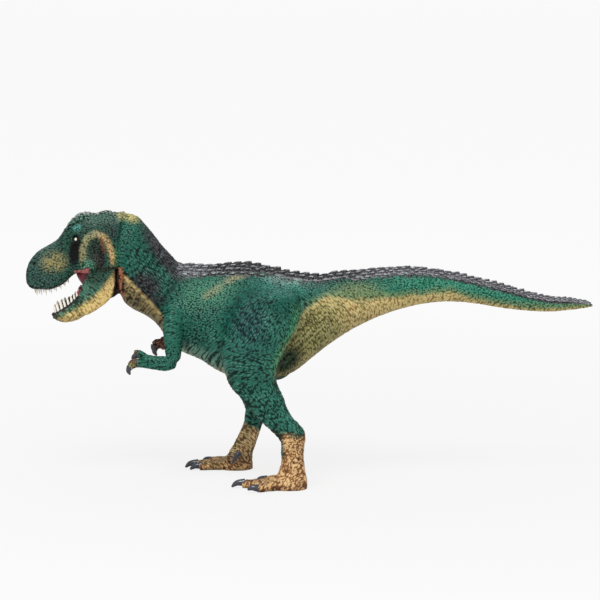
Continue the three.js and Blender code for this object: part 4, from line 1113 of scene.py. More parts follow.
def head_coats(coats, p, n):
    """The head's zones: lip, snout, eye patch, ring of bone and crown."""
    lay = coats.lay
    x, y, z = p.T
    soft, rough = cloud(p, 4, 41) - 0.5, cloud(p, 1.6, 43) - 0.5
    head = ramp(0.4, -0.4, beyond(p, HEAD_SEAM))
    lay(head * (0.4 + 0.6 * ramp(-106, -122, x)), (30, 76, 62), (6, 24, 18), 0.4)
    # Painted shade: the top of the head darker, against the light that falls on it from above
    lay(0.7 * head * ramp(132, 138, z), (20, 70, 54), (5, 20, 14), 0.3)
    lay(head * 0.6 * ramp(-132, -150, x), (54, 88, 80), (16, 32, 28), 0.5)
    snout = blob(p, (-141, 123.2), (11, 8), 12, 0.85)
    lay(head * snout * ramp(-0.45, 0.05, rough + 0.4 * soft), (150, 138, 84), (66, 62, 34))
    crown = ramp(0.55, 0.9, n[:, 2]) * (z > 128)
    lay(head * crown * 0.45, (116, 140, 130), (28, 44, 38), 0.9)
    lay(head * blob(p, (-129, 130), (4.4, 11.5), -10, 0.5), (14, 17, 16), (4, 5, 5), 0)
    # Mint on the top of the brow horn: dry brush, and a painted highlight from the light above
    lay(head * 0.9 * blob(p, (-128.3, 142.2), (4, 2.6), 20, 0.8), (70, 150, 140), GREEN_WASH, 1.1)
    lay(head * 0.7 * blob(p, (-109, 141), (6, 8), -10, 0.9), (30, 54, 48), BLACK, 0.15)
    lay(head * 0.9 * blob(p, (-106.2, 126), (3, 7), 0, 0.8), (62, 132, 68), (18, 50, 26))
    arch = stroke(p, CHEEK_ARCH, 2.8) * ramp(120.5, 124.5, z)
    lay(head * arch * ramp(-0.5, 0.1, rough), (208, 172, 114), (112, 86, 56), 0.6)
    front = stroke(p, CHEEK_ARCH[:4], 3)
    lay(head * 0.8 * front * ramp(-0.6, -0.1, rough), (108, 128, 92), (34, 54, 38), 0.8)
    lay(head * blob(p, (-117, 128), (5.4, 10), 8, 0.5), (40, 58, 44), (12, 16, 13), 0.2)
    lay(head * blob(p, (-114.8, 126), (3.6, 7.5), 0, 0.7), (34, 32, 28), (10, 10, 10), 0.1)
    brown = stroke(p, [(-114.6, 136), (-112.8, 130)], 2)
    lay(head * 0.8 * brown, (116, 66, 34), (50, 24, 14), 0.3)
    lay(head * blob(p, (-122.3, 122.2), (5, 4.6), 0, 0.7), (60, 124, 94), (12, 38, 28), 1.6)
    lay(head * blob(p, NOSTRIL, (1.5, 1.2), 30, 0.5), BLACK, BLACK, 0)
    nape = blob(p, (-101.5, 149.5), (11, 6), -28, 0.8) * ramp(-0.35, 0, rough)
    lay(head * 0.8 * nape, (200, 184, 118), OLIVE_WASH)
    lip = np.interp(x, MOUTH_LIP_X, MOUTH_LIP_Z)
    lay(head * 0.6 * ramp(2.2, 0.6, z - lip) * (x < -126), (40, 58, 52), BLACK)
    lay(head * mouth_mask(p, n) * (x < -122), (150, 84, 84), PINK_WASH)
    under = ramp(-0.2, -0.6, n[:, 2]) * ramp(-130.2, -128.8, x) * ramp(-120.5, -122, x) * (z < 121)
    lay(head * under, (190, 110, 108), PINK_WASH)


# %% Paint the skin
p, n = points_of(skin.data), normals_of(skin.data)
coats = body_coats(p, n)
leg_coats(coats, p)
arm_coats(coats, p)
head_coats(coats, p, n)
coats.keep(skin.data)
print("painted points:", len(p))

# %% [markdown]
# ## Separate pieces
# The skin is cut where the parts of the real figure meet: behind the cheeks, behind the hips, round the
# thighs and under the shoulders. Vertices near a seam are first moved onto it, so the cut is clean. Each
# piece is closed inside the body with a fan of faces, and rides on the same body as its solid.

# %% Cut the skin into pieces
def shade_smooth(mesh):
    mesh.polygons.foreach_set("use_smooth", np.ones(len(mesh.polygons), bool))


def edges_of(mesh):
    """Both ends of every edge."""
    return values_of(mesh.edges, "vertices", 2, np.int32)


def quads_of(mesh):
    """Corners of every face. Triangles repeat their last corner."""
    starts, totals = (values_of(mesh.polygons, name, 1, np.int32) for name in ("loop_start", "loop_total"))
    corners = values_of(mesh.loops, "vertex_index", 1, np.int32)
    return np.stack([corners[starts + np.minimum(k, totals - 1)] for k in range(4)], axis=1)


def snapped(smooth, points, edges, values, limit=0.5):
    """Moves the nearer end of every edge that crosses zero onto the crossing, in both sets of places."""
    a, b = edges[:, 0], edges[:, 1]
    crossing = values[a] * values[b] < 0
    a, b = a[crossing], b[crossing]
    share = values[a] / (values[a] - values[b])
    near = np.where(share < 0.5, a, b)
    at = smooth[a] + share[:, None] * (smooth[b] - smooth[a])
    shift = np.linalg.norm(at - smooth[near], axis=1)
    order = np.argsort(-shift)
    order = order[shift[order] < limit]
    smooth, points, values = smooth.copy(), points.copy(), values.copy()
    moved = points[a] + share[:, None] * (points[b] - points[a])
    smooth[near[order]] = at[order]
    points[near[order]] = moved[order]
    values[near[order]] = 0
    return smooth, points, values


def boundary_loops(faces):
    """Closed loops of the open edges of a set of quads, in the direction that a cap needs."""
    start, end = faces.ravel(), np.roll(faces, -1, axis=1).ravel()
    keep = start != end
    start, end = start[keep], end[keep]
    big = int(faces.max()) + 1
    forward, backward = start.astype(np.int64) * big + end, end.astype(np.int64) * big + start
    open_edges = ~np.isin(forward, backward)
    follow = {}
    for s, e in zip(start[open_edges].tolist(), end[open_edges].tolist()):
        follow.setdefault(e, []).append(s)
    loops = []
    while follow:
        first = next(iter(follow))
        loop, here = [], first
        while here in follow:
            loop.append(here)
            nexts = follow[here]
            following = nexts.pop()
            if not nexts:
                del follow[here]
            here = following
        loops.append(loop)
    return loops


def piece_from(name, source, points, faces):
    """A closed piece from some faces of a mesh, with their attributes. Each open loop gets a fan."""
    loops = boundary_loops(faces)
    used = np.unique(faces)
    index = np.full(len(points), -1)
    index[used] = np.arange(len(used))
    new_points = [points[used]]
    new_faces = [tuple(dict.fromkeys(f)) for f in index[faces].tolist()]
    extra = []
    for loop in loops:
        hub = len(used) + len(extra)
        extra.append((points[loop].mean(0), loop[0]))
        local = index[loop].tolist()
        new_faces += [(a, b, hub) for a, b in zip(local, local[1:] + local[:1])]
    if extra:
        new_points.append(np.array([place for place, _ in extra]))
    thing = mesh_from(name, np.vstack(new_points), new_faces)
    like = np.concatenate([used, np.array([vertex for _, vertex in extra], dtype=int)])
    copy_attributes(source, thing.data, like)
    shade_smooth(thing.data)
    rim = set()
    for loop in loops:
        local = index[loop].tolist()
        rim.update(frozenset(pair) for pair in zip(local, local[1:] + local[:1]))
    sharp = [frozenset(e) in rim for e in edges_of(thing.data).tolist()]
    made = thing.data.attributes.new("sharp_edge", "BOOLEAN", "EDGE")
    made.data.foreach_set("value", sharp)
    thing.data.update()
    print(name, len(loops), "open loops closed,", 2 * len(new_faces), "triangles")
    return thing


def copy_attributes(source, target, like):
    """Gives the target's points what the listed points of the source have."""
    set_floats(target, "height", floats_of(source, "height")[like])
    for name in ("paint", "wash", "grain"):
        keep_colours(target, name, values_of(source.attributes[name].data, "color", 4)[like])


TAIL_FLOOR = 60  # mm, below which nothing behind the seam is tail


def cut_skin():
    """The seams are looked up on the skin as it was before its pebbles, so they run smoothly."""
    points, edges, faces = points_of(skin.data), edges_of(skin.data), quads_of(skin.data)
    smooth = seam_points.copy()
    label = np.full(len(faces), "torso", dtype="<U9")
    free = np.ones(len(faces), bool)
    seams = {f"{side}_arm": lambda p, side=side: arm_function(p, side) for side in SIDES}
    seams |= {f"{side}_leg": lambda p, side=side: leg_function(p, side) for side in SIDES}
    seams["head"] = lambda p: -beyond(p, HEAD_SEAM)
    seams["tail"] = lambda p: np.minimum(beyond(p, TAIL_SEAM), p[:, 2] - TAIL_FLOOR)
    for name, seam in seams.items():
        smooth, points, values = snapped(smooth, points, edges, seam(smooth))
        mine = free & (values[faces].mean(axis=1) > 0)
        label[mine] = name
        free &= ~mine
    return points, faces, label


points, faces, label = cut_skin()
skins = {name: piece_from(f"{name}_skin", skin.data, points, faces[label == name])
         for name in np.unique(label)}
bpy.data.objects.remove(skin)
for name, piece in skins.items():
    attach(piece, "figure")
    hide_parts(name)

# %% [markdown]
# ## Lower jaw
# The jaw is a piece of its own that turns on its pin, so it is fused and painted apart from the figure's
# skin and rides on the jaw's body. Its ears stay smooth where they run inside the cheeks. It starts from
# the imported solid, so its hinge is where the joint turns it.

# %% Sizes of the lower jaw
JAW_VOXEL = 0.4  # mm
JAW_GROWTH = -0.2  # mm by which the solid shrinks, so the pebbles stay inside it
JAW_PEBBLES = {"Fine Size": 0.0013, "Fine Height": 0.0003, "Coarse Size": 0.0022, "Coarse Height": 0.0004}
EAR_HALF = 10.4  # mm from the middle to an ear's outer side
EAR_RADIUS = 9  # mm round the hinge in which nothing is smoothed
JAW_STEP = ((-127.6, 106), (4.5, 12), 12)  # centre, radii and turn of the step before the cheeks
JAW_GROOVE = [(-141, 94), (-133, 95), (-125, 99.5), (-118, 106)]
JAW_FOLD = [(-142, 92), (-133, 92), (-125, 96)]
GUM_LINE_SHARES = [(0.0425, 0.618), (0.0445, 0.62), (0.054, 0.625), (0.067, 0.64), (0.081, 0.66),
                   (0.092, 0.686), (0.098, 0.715)]
TEAL_EDGE = [(-144, 91.5), (-137, 93.2), (-130.3, 96.8), (-123.5, 101.8), (-117.6, 106.6),
             (-113.1, 111.8), (-108.9, 118)]
gum_line = np.array(GUM_LINE_SHARES) * (LENGTH, HEIGHT) - (LENGTH / 2, 0)
print("gum line from x", round(gum_line[0, 0], 1), "to", round(gum_line[-1, 0], 1), "mm")

# %% Lower jaw
def hinge_distance(p):
    return np.hypot(p[:, 0] - HINGE[0], p[:, 2] - HINGE[1])


def jaw_relief(p, n):
    """Where the jaw shows its outside: 0 on the ears, inside the mouth and on the gum."""
    outside = ramp(0.1, 0.5, n[:, 1] * np.sign(p[:, 1])) + ramp(-0.1, -0.5, n[:, 2])
    near_gum = p[:, 2] - line_at(p[:, 0], gum_line)
    below_gum = ramp(0.2, -1, near_gum * (p[:, 0] < -125))
    return np.clip(outside, 0, 1) * ramp(7, 11, hinge_distance(p)) * below_gum


def jaw_coats(p, n):
    """Teal at the lip, ochre below, dark gum and a maroon inside."""
    x, y, z = p.T
    soft, rough = cloud(p, 4, 51) - 0.5, cloud(p, 1.6, 53) - 0.5
    coats = Coats(len(p), (78, 126, 104), (24, 50, 42), 0.5)
    lay = coats.lay
    edge = line_at(x, TEAL_EDGE)
    lay(ramp(2.5, -2, z - edge + 3 * soft), (150, 154, 104), OLIVE_WASH)
    lay(ramp(0.8, -3.5, z - edge + 2.5 * soft + 1.5 * rough), (224, 196, 128), OCHRE_WASH)
    lay(0.5 * ramp(0.05, 0.25, rough) * ramp(0, -4, z - edge), (176, 118, 60), RUST_WASH)
    lay(0.8 * ramp(-138.5, -142.5, x + 0.4 * (z - 93)), (74, 78, 64), (24, 26, 22))
    # Painted shade: darker teal on the jaw's rear plate, where it lies under the cheek's overhang
    lay(0.5 * blob(p, (-117.5, 113.5), (8, 7), 40, 0.8), (60, 92, 80), (16, 30, 26), 0.3)
    lay(0.85 * ramp(-108.8, -107.6, x) * (z < 121), RUST, RUST_WASH)
    gum = z - line_at(x, gum_line)
    lay(ramp(-0.9, -0.2, gum) * (x < -126.5), (30, 30, 30), BLACK)
    inside = ramp(0.1, 0.4, -n[:, 1] * np.sign(y)) + ramp(0.2, 0.5, n[:, 2]) * (x < -122) * (gum > -1)
    lay(np.clip(inside, 0, 1) * (x < -112), (128, 40, 50), (64, 16, 24))
    return coats


def press_ears(thing):
    """Keeps the relief of the jaw's ears clear of the cheeks, between which they turn."""
    p = points_of(thing.data)
    reach = EAR_HALF + 4 * ramp(12, 18, hinge_distance(p))
    p[:, 1] = np.clip(p[:, 1], -reach, reach)
    set_points(thing.data, p)


def add_jaw():
    thing = fused("jaw_skin", [cad_form("lower_jaw", JAW_GROWTH)], JAW_VOXEL)
    p = points_of(thing.data)
    ear = hinge_distance(p) < EAR_RADIUS
    step = blob(p, *JAW_STEP, 0.6) * (np.abs(p[:, 1]) > 8.6)
    smoothed(thing, 0.5, 6, np.ones(len(p)))
    smoothed(thing, 0.5, 14, 1 * ~ear)
    smoothed(thing, 0.5, 140, step)
    p, n = points_of(thing.data), normals_of(thing.data)
    show = jaw_relief(p, n)
    push = 0.4 * stroke(p, JAW_FOLD, 1.8) - 0.5 * stroke(p, JAW_GROOVE, 1.6)
    set_points(thing.data, p + n * (push * show)[:, None])
    set_floats(thing.data, "fine", show)
    set_floats(thing.data, "coarse", 0.25 * show)
    set_floats(thing.data, "fold", 0.3 * show * folds(p, 35, 9, 1.8, 55))
    with_tree(thing, pebbles, JAW_PEBBLES)
    press_ears(thing)
    jaw_coats(points_of(thing.data), normals_of(thing.data)).keep(thing.data)
    shade_smooth(thing.data)
    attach(thing, "jaw")
    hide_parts("lower_jaw")
    return thing


jaw_skin = add_jaw()
print("jaw quads:", len(jaw_skin.data.polygons))

# %% [markdown]
# ## Inside the mouth
# A palate, gums and a tall dark gum ridge that also paints the shade behind the lower teeth, a tongue,
# flesh at the corners and two rows of teeth. The teeth are one curved cone that Geometry Nodes set on the
# points of each arch, with its own turn and size at each point. Copies made by hand would look the same,
# but a change of the cone would then be made in every copy.

# %% Copies of one shape
def keyed_euler(z_axis, x_axis):
    """Turn of a shape whose Z goes to one direction and whose X goes near another."""
    z = Vector(z_axis).normalized()
    y = z.cross(Vector(x_axis)).normalized()
    x = y.cross(z)
    return tuple(Matrix((x, y, z)).transposed().to_euler("XYZ"))


def copies_tree():
    tree, given, out = new_tree(
        "copies on points", "GeometryNodeTree",
        {"Geometry": (SHAPE, None), "Shape": ("NodeSocketObject", None),
         "Material": ("NodeSocketMaterial", None)},
        {"Geometry": SHAPE})
    shape = add_node(tree, "GeometryNodeObjectInfo", {"Object": given.outputs["Shape"]})
    turn = add_node(tree, "FunctionNodeEulerToRotation", {0: named(tree, "turn", "FLOAT_VECTOR")})
    placed = add_node(tree, "GeometryNodeInstanceOnPoints",
                      {"Points": given.outputs["Geometry"], "Instance": shape.outputs["Geometry"],
                       "Rotation": turn.outputs[0], "Scale": named(tree, "size", "FLOAT_VECTOR")})
    real = add_node(tree, "GeometryNodeRealizeInstances", {0: placed.outputs[0]})
    dressed = add_node(tree, "GeometryNodeSetMaterial",
                       {"Geometry": real.outputs[0], "Material": given.outputs["Material"]})
    tree.links.new(dressed.outputs[0], out.inputs["Geometry"])
    return tree


copies = copies_tree()


def copies_of(name, template, places, turns, sizes, material, colours=None):
    """One mesh with the template at every place. Sizes are in the template's own millimetres."""
    thing = mesh_from(name, places, [])
    for label, values in (("turn", turns), ("size", sizes)):
        made = thing.data.attributes.new(label, "FLOAT_VECTOR", "POINT")
        made.data.foreach_set("vector", np.asarray(values, np.float32).ravel())
    for label, values in (colours or {}).items():
        keep_colours(thing.data, label, values)
    with_tree(thing, copies, {"Shape": template, "Material": material})
    for label in ("turn", "size"):
        if label in thing.data.attributes:
            thing.data.attributes.remove(thing.data.attributes[label])
    return thing


def ring_template(name, rings, sides, heights=None):
    """A closed shape from rings of (radius along x, radius along y, centre x, z)."""
    angle = np.linspace(0, 2 * np.pi, sides, endpoint=False)
    rows = [[(cx + rx * math.cos(a), ry * math.sin(a), z) for a in angle] for rx, ry, cx, z in rings]
    points, faces = skin_over(np.array(rows))
    thing = mesh_from(name, points, faces)
    levels = np.repeat([r[3] for r in rings], sides) if heights is None else np.repeat(heights, sides)
    set_floats(thing.data, "height", np.concatenate([levels, [levels[0], levels[-1]]]))
    shade_smooth(thing.data)
    return thing


# %% Plain glossy materials
def new_material(name, **settings):
    """A material and its main shader, with sockets set by their names."""
    made = bpy.data.materials.new(name)
    made.use_nodes = True
    shader = made.node_tree.nodes["Principled BSDF"]
    for label, value in settings.items():
        shader.inputs[label.replace("_", " ")].default_value = value
    return made, shader


def plain(name, colour, roughness, coat=0):
    return new_material(name, Base_Color=(*srgb(*colour), 1), Roughness=roughness, Coat_Weight=coat)[0]


ivory = plain("ivory_tooth", (240, 236, 222), 0.3, 0.3)
dark_gum = plain("dark_gum", (34, 28, 30), 0.35, 0.4)
red_gum = plain("red_gum", (150, 62, 70), 0.35, 0.4)
maroon = plain("mouth_maroon", (122, 34, 52), 0.35, 0.4)
tongue_pink = plain("tongue_pink", (176, 84, 90), 0.35, 0.4)
claw_slate = plain("claw_slate", (62, 64, 72), 0.28, 0.4)
eye_black = plain("eye_black", (10, 10, 11), 0.08, 1)
# The cream of each eye's spot is a painted highlight
eye_cream = plain("eye_cream", (232, 226, 190), 0.2, 0.8)

# %% Teeth
# The slim upper teeth and the stout lower ones: radius along x, along y, middle and height of each ring
TOOTH_RINGS = [(1, 1, 0, -0.35), (1.05, 1.05, 0, 0), (0.95, 0.95, 0.02, 0.25),
               (0.76, 0.76, 0.1, 0.55), (0.48, 0.48, 0.26, 0.8), (0.14, 0.14, 0.44, 0.98)]
PEG_RINGS = [(1, 1, 0, -0.35), (1.02, 1.02, 0, 0), (1, 1, 0.02, 0.35),
             (0.9, 0.9, 0.08, 0.68), (0.6, 0.6, 0.18, 0.88), (0.18, 0.18, 0.28, 0.98)]
TOOTH_CORNERS = 8
TOOTH_SPLAY = 0.08  # how far the teeth lean outwards
# Where the feet of the teeth stand, from the front to the corner: length, width and height shares
UPPER_ARCH_SHARES = [(0.0145, 0.01, 0.711), (0.0165, 0.044, 0.709), (0.022, 0.064, 0.708),
                     (0.03, 0.075, 0.708), (0.042, 0.085, 0.709), (0.058, 0.093, 0.721),
                     (0.066, 0.1, 0.731), (0.074, 0.106, 0.741)]
LOWER_ARCH_SHARES = [(0.0495, 0.008, 0.62), (0.051, 0.018, 0.621), (0.056, 0.032, 0.627),
                     (0.066, 0.043, 0.639), (0.078, 0.053, 0.655), (0.088, 0.064, 0.675),
                     (0.0975, 0.074, 0.702)]


def arch_places(shares, side, count):
    """Evenly spaced places on one side of an arch, in millimetres."""
    line = smooth_rows(limb_points(shares, side), 10)
    lengths = np.concatenate([[0], np.cumsum(np.linalg.norm(np.diff(line, axis=0), axis=1))])
    at = (np.arange(count) + 0.5) / count * lengths[-1]
    return np.stack([np.interp(at, lengths, line[:, k]) for k in range(3)], axis=1)


def tooth_share(k, count):
    """Length of tooth k against the longest: the row swells towards its middle and falls to the corner."""
    if k == 0:
        return 0.75
    along = min(1, (k + 1.2) / (count * 0.72))
    return 0.62 + 0.38 * math.sin(math.pi * along ** 0.8)


def add_teeth(name, shares, rings, count, length, radius, lean, body, node, up, drop):
    """Both sides of a row. Up is 1 for teeth that stand and -1 for teeth that hang."""
    random = np.random.default_rng(7)
    places, turns, sizes = [], [], []
    for side in SIDES.values():
        for k, place in enumerate(arch_places(shares, side, count)):
            share = tooth_share(k, count)
            tall = length * share * random.uniform(0.88, 1.08)
            leaning = (lean + random.uniform(-0.05, 0.05), TOOTH_SPLAY * side, up)
            turns.append(keyed_euler(leaning, (1, 0, 0)))
            places.append(place + (0, 0, -up * drop))
            thick = radius * random.uniform(0.9, 1.08) * (0.75 + 0.25 * share)
            sizes.append((thick, thick, tall))
    template = ring_template(f"{name}_shape", rings, TOOTH_CORNERS)
    thing = copies_of(name, template, places, turns, sizes, ivory)
    bpy.data.objects.remove(template)
    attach(thing, body)
    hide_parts(node)
    print(name, len(places), "teeth")


add_teeth("upper_tooth_row", UPPER_ARCH_SHARES, TOOTH_RINGS, count=8, length=3.8, radius=0.52, lean=0.04,
          body="figure", node="upper_teeth", up=-1, drop=0)
add_teeth("lower_tooth_row", LOWER_ARCH_SHARES, PEG_RINGS, count=9, length=5.8, radius=0.8, lean=-0.28,
          body="jaw", node="lower_teeth", up=1, drop=0.4)

# %% Gums, palate and tongue
# Flesh at the corner of the mouth, in mm: front x and z, rear x and z, half width. The skull's part stays
# within 19 mm of the hinge and the jaw's part beyond 20 mm, so they pass each other when the jaw shuts.
CORNER_ROWS = [(-128.6, 118.6, -118, 121, 7), (-129.7, 116, -117, 117, 7.8),
               (-128.9, 113.5, -116.5, 114, 7.9), (-127.4, 111.2, -116.5, 111, 7.9),
               (-125.8, 109.2, -117, 109, 7.8), (-124.2, 107.9, -118.5, 107.8, 7.2),
               (-122.8, 106.9, -120, 106.9, 5.6)]
ROOT_ROWS = [(-129, 101.6, -123, 101, 6.8), (-129.5, 104.4, -123.5, 103.6, 7.6),
             (-129.2, 106.5, -124.5, 106, 7.8), (-128.7, 107.9, -125.6, 107.4, 7.4),
             (-127.9, 108.8, -126.6, 108.5, 5.6)]
# The roof of the mouth and its floor, in the shares that the body's rows have
UPPER_MOUTH_ROWS = [(0.017, 0.75, 0.016, 0.732, 0.042, 0), (0.021, 0.758, 0.021, 0.731, 0.06, 0),
                    (0.03, 0.768, 0.03, 0.731, 0.078, 0), (0.042, 0.776, 0.041, 0.733, 0.088, 0),
                    (0.058, 0.78, 0.058, 0.74, 0.092, 0), (0.073, 0.79, 0.073, 0.752, 0.092, 0),
                    (0.086, 0.8, 0.086, 0.766, 0.094, 0)]
LOWER_FLOOR_ROWS = [(0.0475, 0.614, 0.0485, 0.608, 0.02, 0), (0.055, 0.618, 0.056, 0.602, 0.038, 0),
                    (0.068, 0.63, 0.071, 0.6, 0.05, 0), (0.082, 0.65, 0.088, 0.61, 0.062, 0),
                    (0.095, 0.678, 0.104, 0.632, 0.076, 0), (0.104, 0.704, 0.119, 0.648, 0.084, 0)]
# Length, width and height shares
TONGUE = [(0.064, 0, 0.628), (0.074, 0, 0.64), (0.086, 0, 0.654), (0.098, 0, 0.676),
          (0.104, 0, 0.69)]
TONGUE_RADII = (0.018, 0.034, 0.042, 0.044, 0.036)
TONGUE_FLATNESS = 0.35


def ring_piece(name, rings, material, body, node):
    points, faces = skin_over(rings)
    thing = mesh_from(name, points, faces)
    shade_smooth(thing.data)
    thing.data.materials.append(material)
    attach(thing, body)
    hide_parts(node)


def mouth_rings(rows, shrink, drop):
    """Rings of the mouth's space, drawn in and let down by some millimetres."""
    rings = section_rings(smooth_rows(rows, 6), 40, 0, 3)
    middle = rings.mean(axis=1, keepdims=True)
    reach = np.linalg.norm(rings - middle, axis=2, keepdims=True)
    return middle + (rings - middle) * np.clip(1 - shrink / reach, 0.2, 1) - (0, 0, drop)


def add_palate():
    """The roof of the mouth: a shell that lines the space in the skull."""
    thing = mesh_from("palate", *skin_over(mouth_rings(UPPER_MOUTH_ROWS, 0.6, 0)))
    cutter = mesh_from("palate_cutter", *skin_over(mouth_rings(UPPER_MOUTH_ROWS, 2.4, 2.6)))
    cut = thing.modifiers.new("cut", "BOOLEAN")
    cut.operation, cut.object, cut.solver = "DIFFERENCE", cutter, "EXACT"
    applied(thing)
    bpy.data.objects.remove(cutter)
    thing.data.materials.clear()
    thing.data.materials.append(red_gum)
    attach(thing, "figure")
    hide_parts("upper_teeth")


add_palate()
for name, rows, body, node in (("mouth_corner", CORNER_ROWS, "figure", "upper_teeth"),
                               ("tongue_root", ROOT_ROWS, "jaw", "lower_teeth")):
    shares = np.array(rows) / (LENGTH, HEIGHT, LENGTH, HEIGHT, WIDTH) + (0.5, 0, 0.5, 0, 0)
    shares = np.hstack([shares, np.zeros((len(shares), 1))])
    ring_piece(name, section_rings(smooth_rows(shares, 5), 36, 0, 2.6), maroon, body, node)
ring_piece("mouth_floor", mouth_rings(LOWER_FLOOR_ROWS, 0, 0), red_gum, "jaw", "lower_teeth")
tongue_rings = limb_rings(limb_points(TONGUE, 1), np.array(TONGUE_RADII) * WIDTH, 24)
middle = tongue_rings[:, :, 2].mean(axis=1, keepdims=True)
tongue_rings[:, :, 2] += (middle - tongue_rings[:, :, 2]) * TONGUE_FLATNESS
ring_piece("tongue", tongue_rings, tongue_pink, "jaw", "lower_teeth")

# %% Dark gums, and a ridge of painted shade behind the lower teeth
# Name, arch, place from the teeth's feet in mm, radii from front to corner, height against width
GUMS = {
    "lower_gum": (LOWER_ARCH_SHARES, (0, 0, -0.9), (0.9, 1.1, 1.2, 1.25, 1.1, 0.8), 1),
    # A tall dark ridge behind the lower teeth: dark gum, raised to stand in for the shade between and behind
    # them
    "lower_ridge": (LOWER_ARCH_SHARES, (0.4, -1.35, 1.2), (0.55, 0.75, 0.85, 0.85, 0.8, 0.6), 3.1),
    "upper_gum": (UPPER_ARCH_SHARES, (0.3, 0, 1.3), (0.8, 1, 1.1, 1.15, 1.1, 0.9), 1),
}


def gum_rings(line, radii, tall):
    """A rope along a line, made taller than it is wide."""
    rings = limb_rings(line, radii, 12, 3)
    middle = rings.mean(axis=1, keepdims=True)
    return middle + (rings - middle) * (1, 1, tall)


for side_name, side in SIDES.items():
    for name, (shares, shift, radii, tall) in GUMS.items():
        rings = gum_rings(arch_places(shares, side, 14) + np.array(shift) * (1, side, 1), radii, tall)
        body, node = ("figure", "upper_teeth") if name == "upper_gum" else ("jaw", "lower_teeth")
        ring_piece(f"{name}_{side_name}", rings, dark_gum, body, node)

# %% [markdown]
# ## Back plates
# Rows of keeled plates run from the neck to the tail tip, smaller towards the sides and the tip. A ray
# from above finds the skin under each plate, and Geometry Nodes set a copy of one plate there. The skin's
# own relief is too fine to carry such tall forms with clean edges.

# %% Sizes of the back plates
PLATE_RINGS = [(0.62, 0.46, 0, -0.55), (0.66, 0.48, 0, 0), (0.58, 0.38, 0.1, 0.36),
               (0.44, 0.22, 0.22, 0.7), (0.26, 0.08, 0.36, 0.93), (0.1, 0.02, 0.46, 1)]
PLATE_HEIGHTS = (0.3, 0.3, -0.3, -0.4, -0.1, 0.9)  # for the paint: dark faces and pale keels
PLATE_CORNERS = 10
ROW_OFFSETS = (0, 3.9, 7.4, 10.6)  # mm from the middle
ROW_SIZES = ((5.7, 4.8, 3.3), (5.3, 4.4, 2.5), (4.9, 4, 2), (4.2, 3.4, 1.2))  # length, width, height
ROW_START, ROW_END, ROW_STAGGER = -73, 154.5, 2.6
OUTER_ROWS_GAP = (-26, 20)  # over the hips the outer rows are left out
FULL_PITCH = 5.4  # mm from plate to plate over the hips
PLATE_PITCHES = [(-78, 4.8), (-70, 5.2), (-10, 5.4), (25, 5.2), (60, 4.6), (100, 4), (130, 3.4), (157, 2.4)]
FULL_HALF = 21  # half width of a body on which the rows stand at their full distances
ABOVE = 200  # mm, higher than the figure

# %% Places of the back plates
def skin_below(x, y):
    """Place and normal of the skin under a point in the air."""
    hit, normal, _, _ = skin_tree.ray_cast(Vector((x, y, ABOVE)), Vector((0, 0, -1)))
    return hit, normal


def plate_places(random):
    """Place, normal and size of every plate."""
    found = []
    for row, (offset, size) in enumerate(zip(ROW_OFFSETS, ROW_SIZES)):
        for side in ((1,) if row == 0 else (1, -1)):
            x = ROW_START + (row % 2) * ROW_STAGGER
            while x < ROW_END:
                pitch = float(line_at(x, PLATE_PITCHES))
                if row > 1 and OUTER_ROWS_GAP[0] < x < OUTER_ROWS_GAP[1]:
                    x += pitch
                    continue
                wide = min(1, float(np.interp(x, top_x, half_widths)) / FULL_HALF)
                wide *= float(np.interp(x, [-98, -70], [0.7, 1]))
                hit, normal = skin_below(x, side * offset * wide + random.uniform(-0.25, 0.25) * wide)
                if hit and normal.z > 0.3:
                    scale = pitch / FULL_PITCH * random.uniform(0.88, 1.1)
                    fade = float(np.interp(x, [-74, -67, 150, 156], [0.4, 1, 0.9, 0.5]))
                    narrow = max(wide, 0.5) * FULL_PITCH / pitch if wide < pitch / FULL_PITCH else 1
                    found.append((hit, normal, np.array(size) * scale * (1, narrow, fade)))
                x += pitch
    return found


def along_back(x):
    """Direction of the back's line at a place."""
    angle = math.atan2(float(back_height(x + 2) - back_height(x - 2)), 4)
    return Vector((math.cos(angle), 0, math.sin(angle)))


def set_on_skin(name, template, found, turns, paint, wash, glint):
    """A copy of a small shape at every place that was found, in its own colour."""
    one_each = np.ones((len(found), 1))
    paints = {"paint": np.hstack([paint, glint * one_each]), "wash": np.hstack([wash * one_each, one_each])}
    places = [tuple(place) for place, _, _ in found]
    thing = copies_of(name, template, places, turns, [size for _, _, size in found], None, paints)
    bpy.data.objects.remove(template)
    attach(thing, "figure")
    print(name, len(found))
    return thing


skin_tree = BVHTree.FromPolygons(points.tolist(), [tuple(dict.fromkeys(f)) for f in faces.tolist()])
found = plate_places(np.random.default_rng(3))
spots = [place for place, _, _ in found]
turns = [keyed_euler(Vector((0, n.y, n.z)).normalized() * 0.6 + n * 0.4, along_back(place.x))
         for place, n, _ in found]

# %% Paint and set the back plates
# Green at the sides, silver at the neck and along the tail, and each plate a little lighter or darker
green_share = 0.3 * np.array([abs(place.y) / 11 for place in spots])[:, None]
along = np.array([place.x for place in spots])[:, None]
silver = np.clip(ramp(0, 50, along) + ramp(-54, -64, along), 0, 1)
plate_colour = srgb(162, 158, 160) * (1 - silver) + srgb(190, 188, 194) * silver
plate_colour = plate_colour * (1 - green_share) + srgb(*GREEN) * green_share
plate_colour = plate_colour * np.random.default_rng(5).uniform(0.75, 1.25, (len(found), 1))
plate_wash = srgb(30, 32, 34) * (1 - silver) + srgb(62, 62, 66) * silver
template = ring_template("plate_shape", PLATE_RINGS, PLATE_CORNERS, PLATE_HEIGHTS)
plates = set_on_skin("back_plates", template, found, turns, plate_colour, plate_wash, 0.8)
print("triangles of the back plates:", sum(len(f.vertices) - 2 for f in plates.data.polygons))
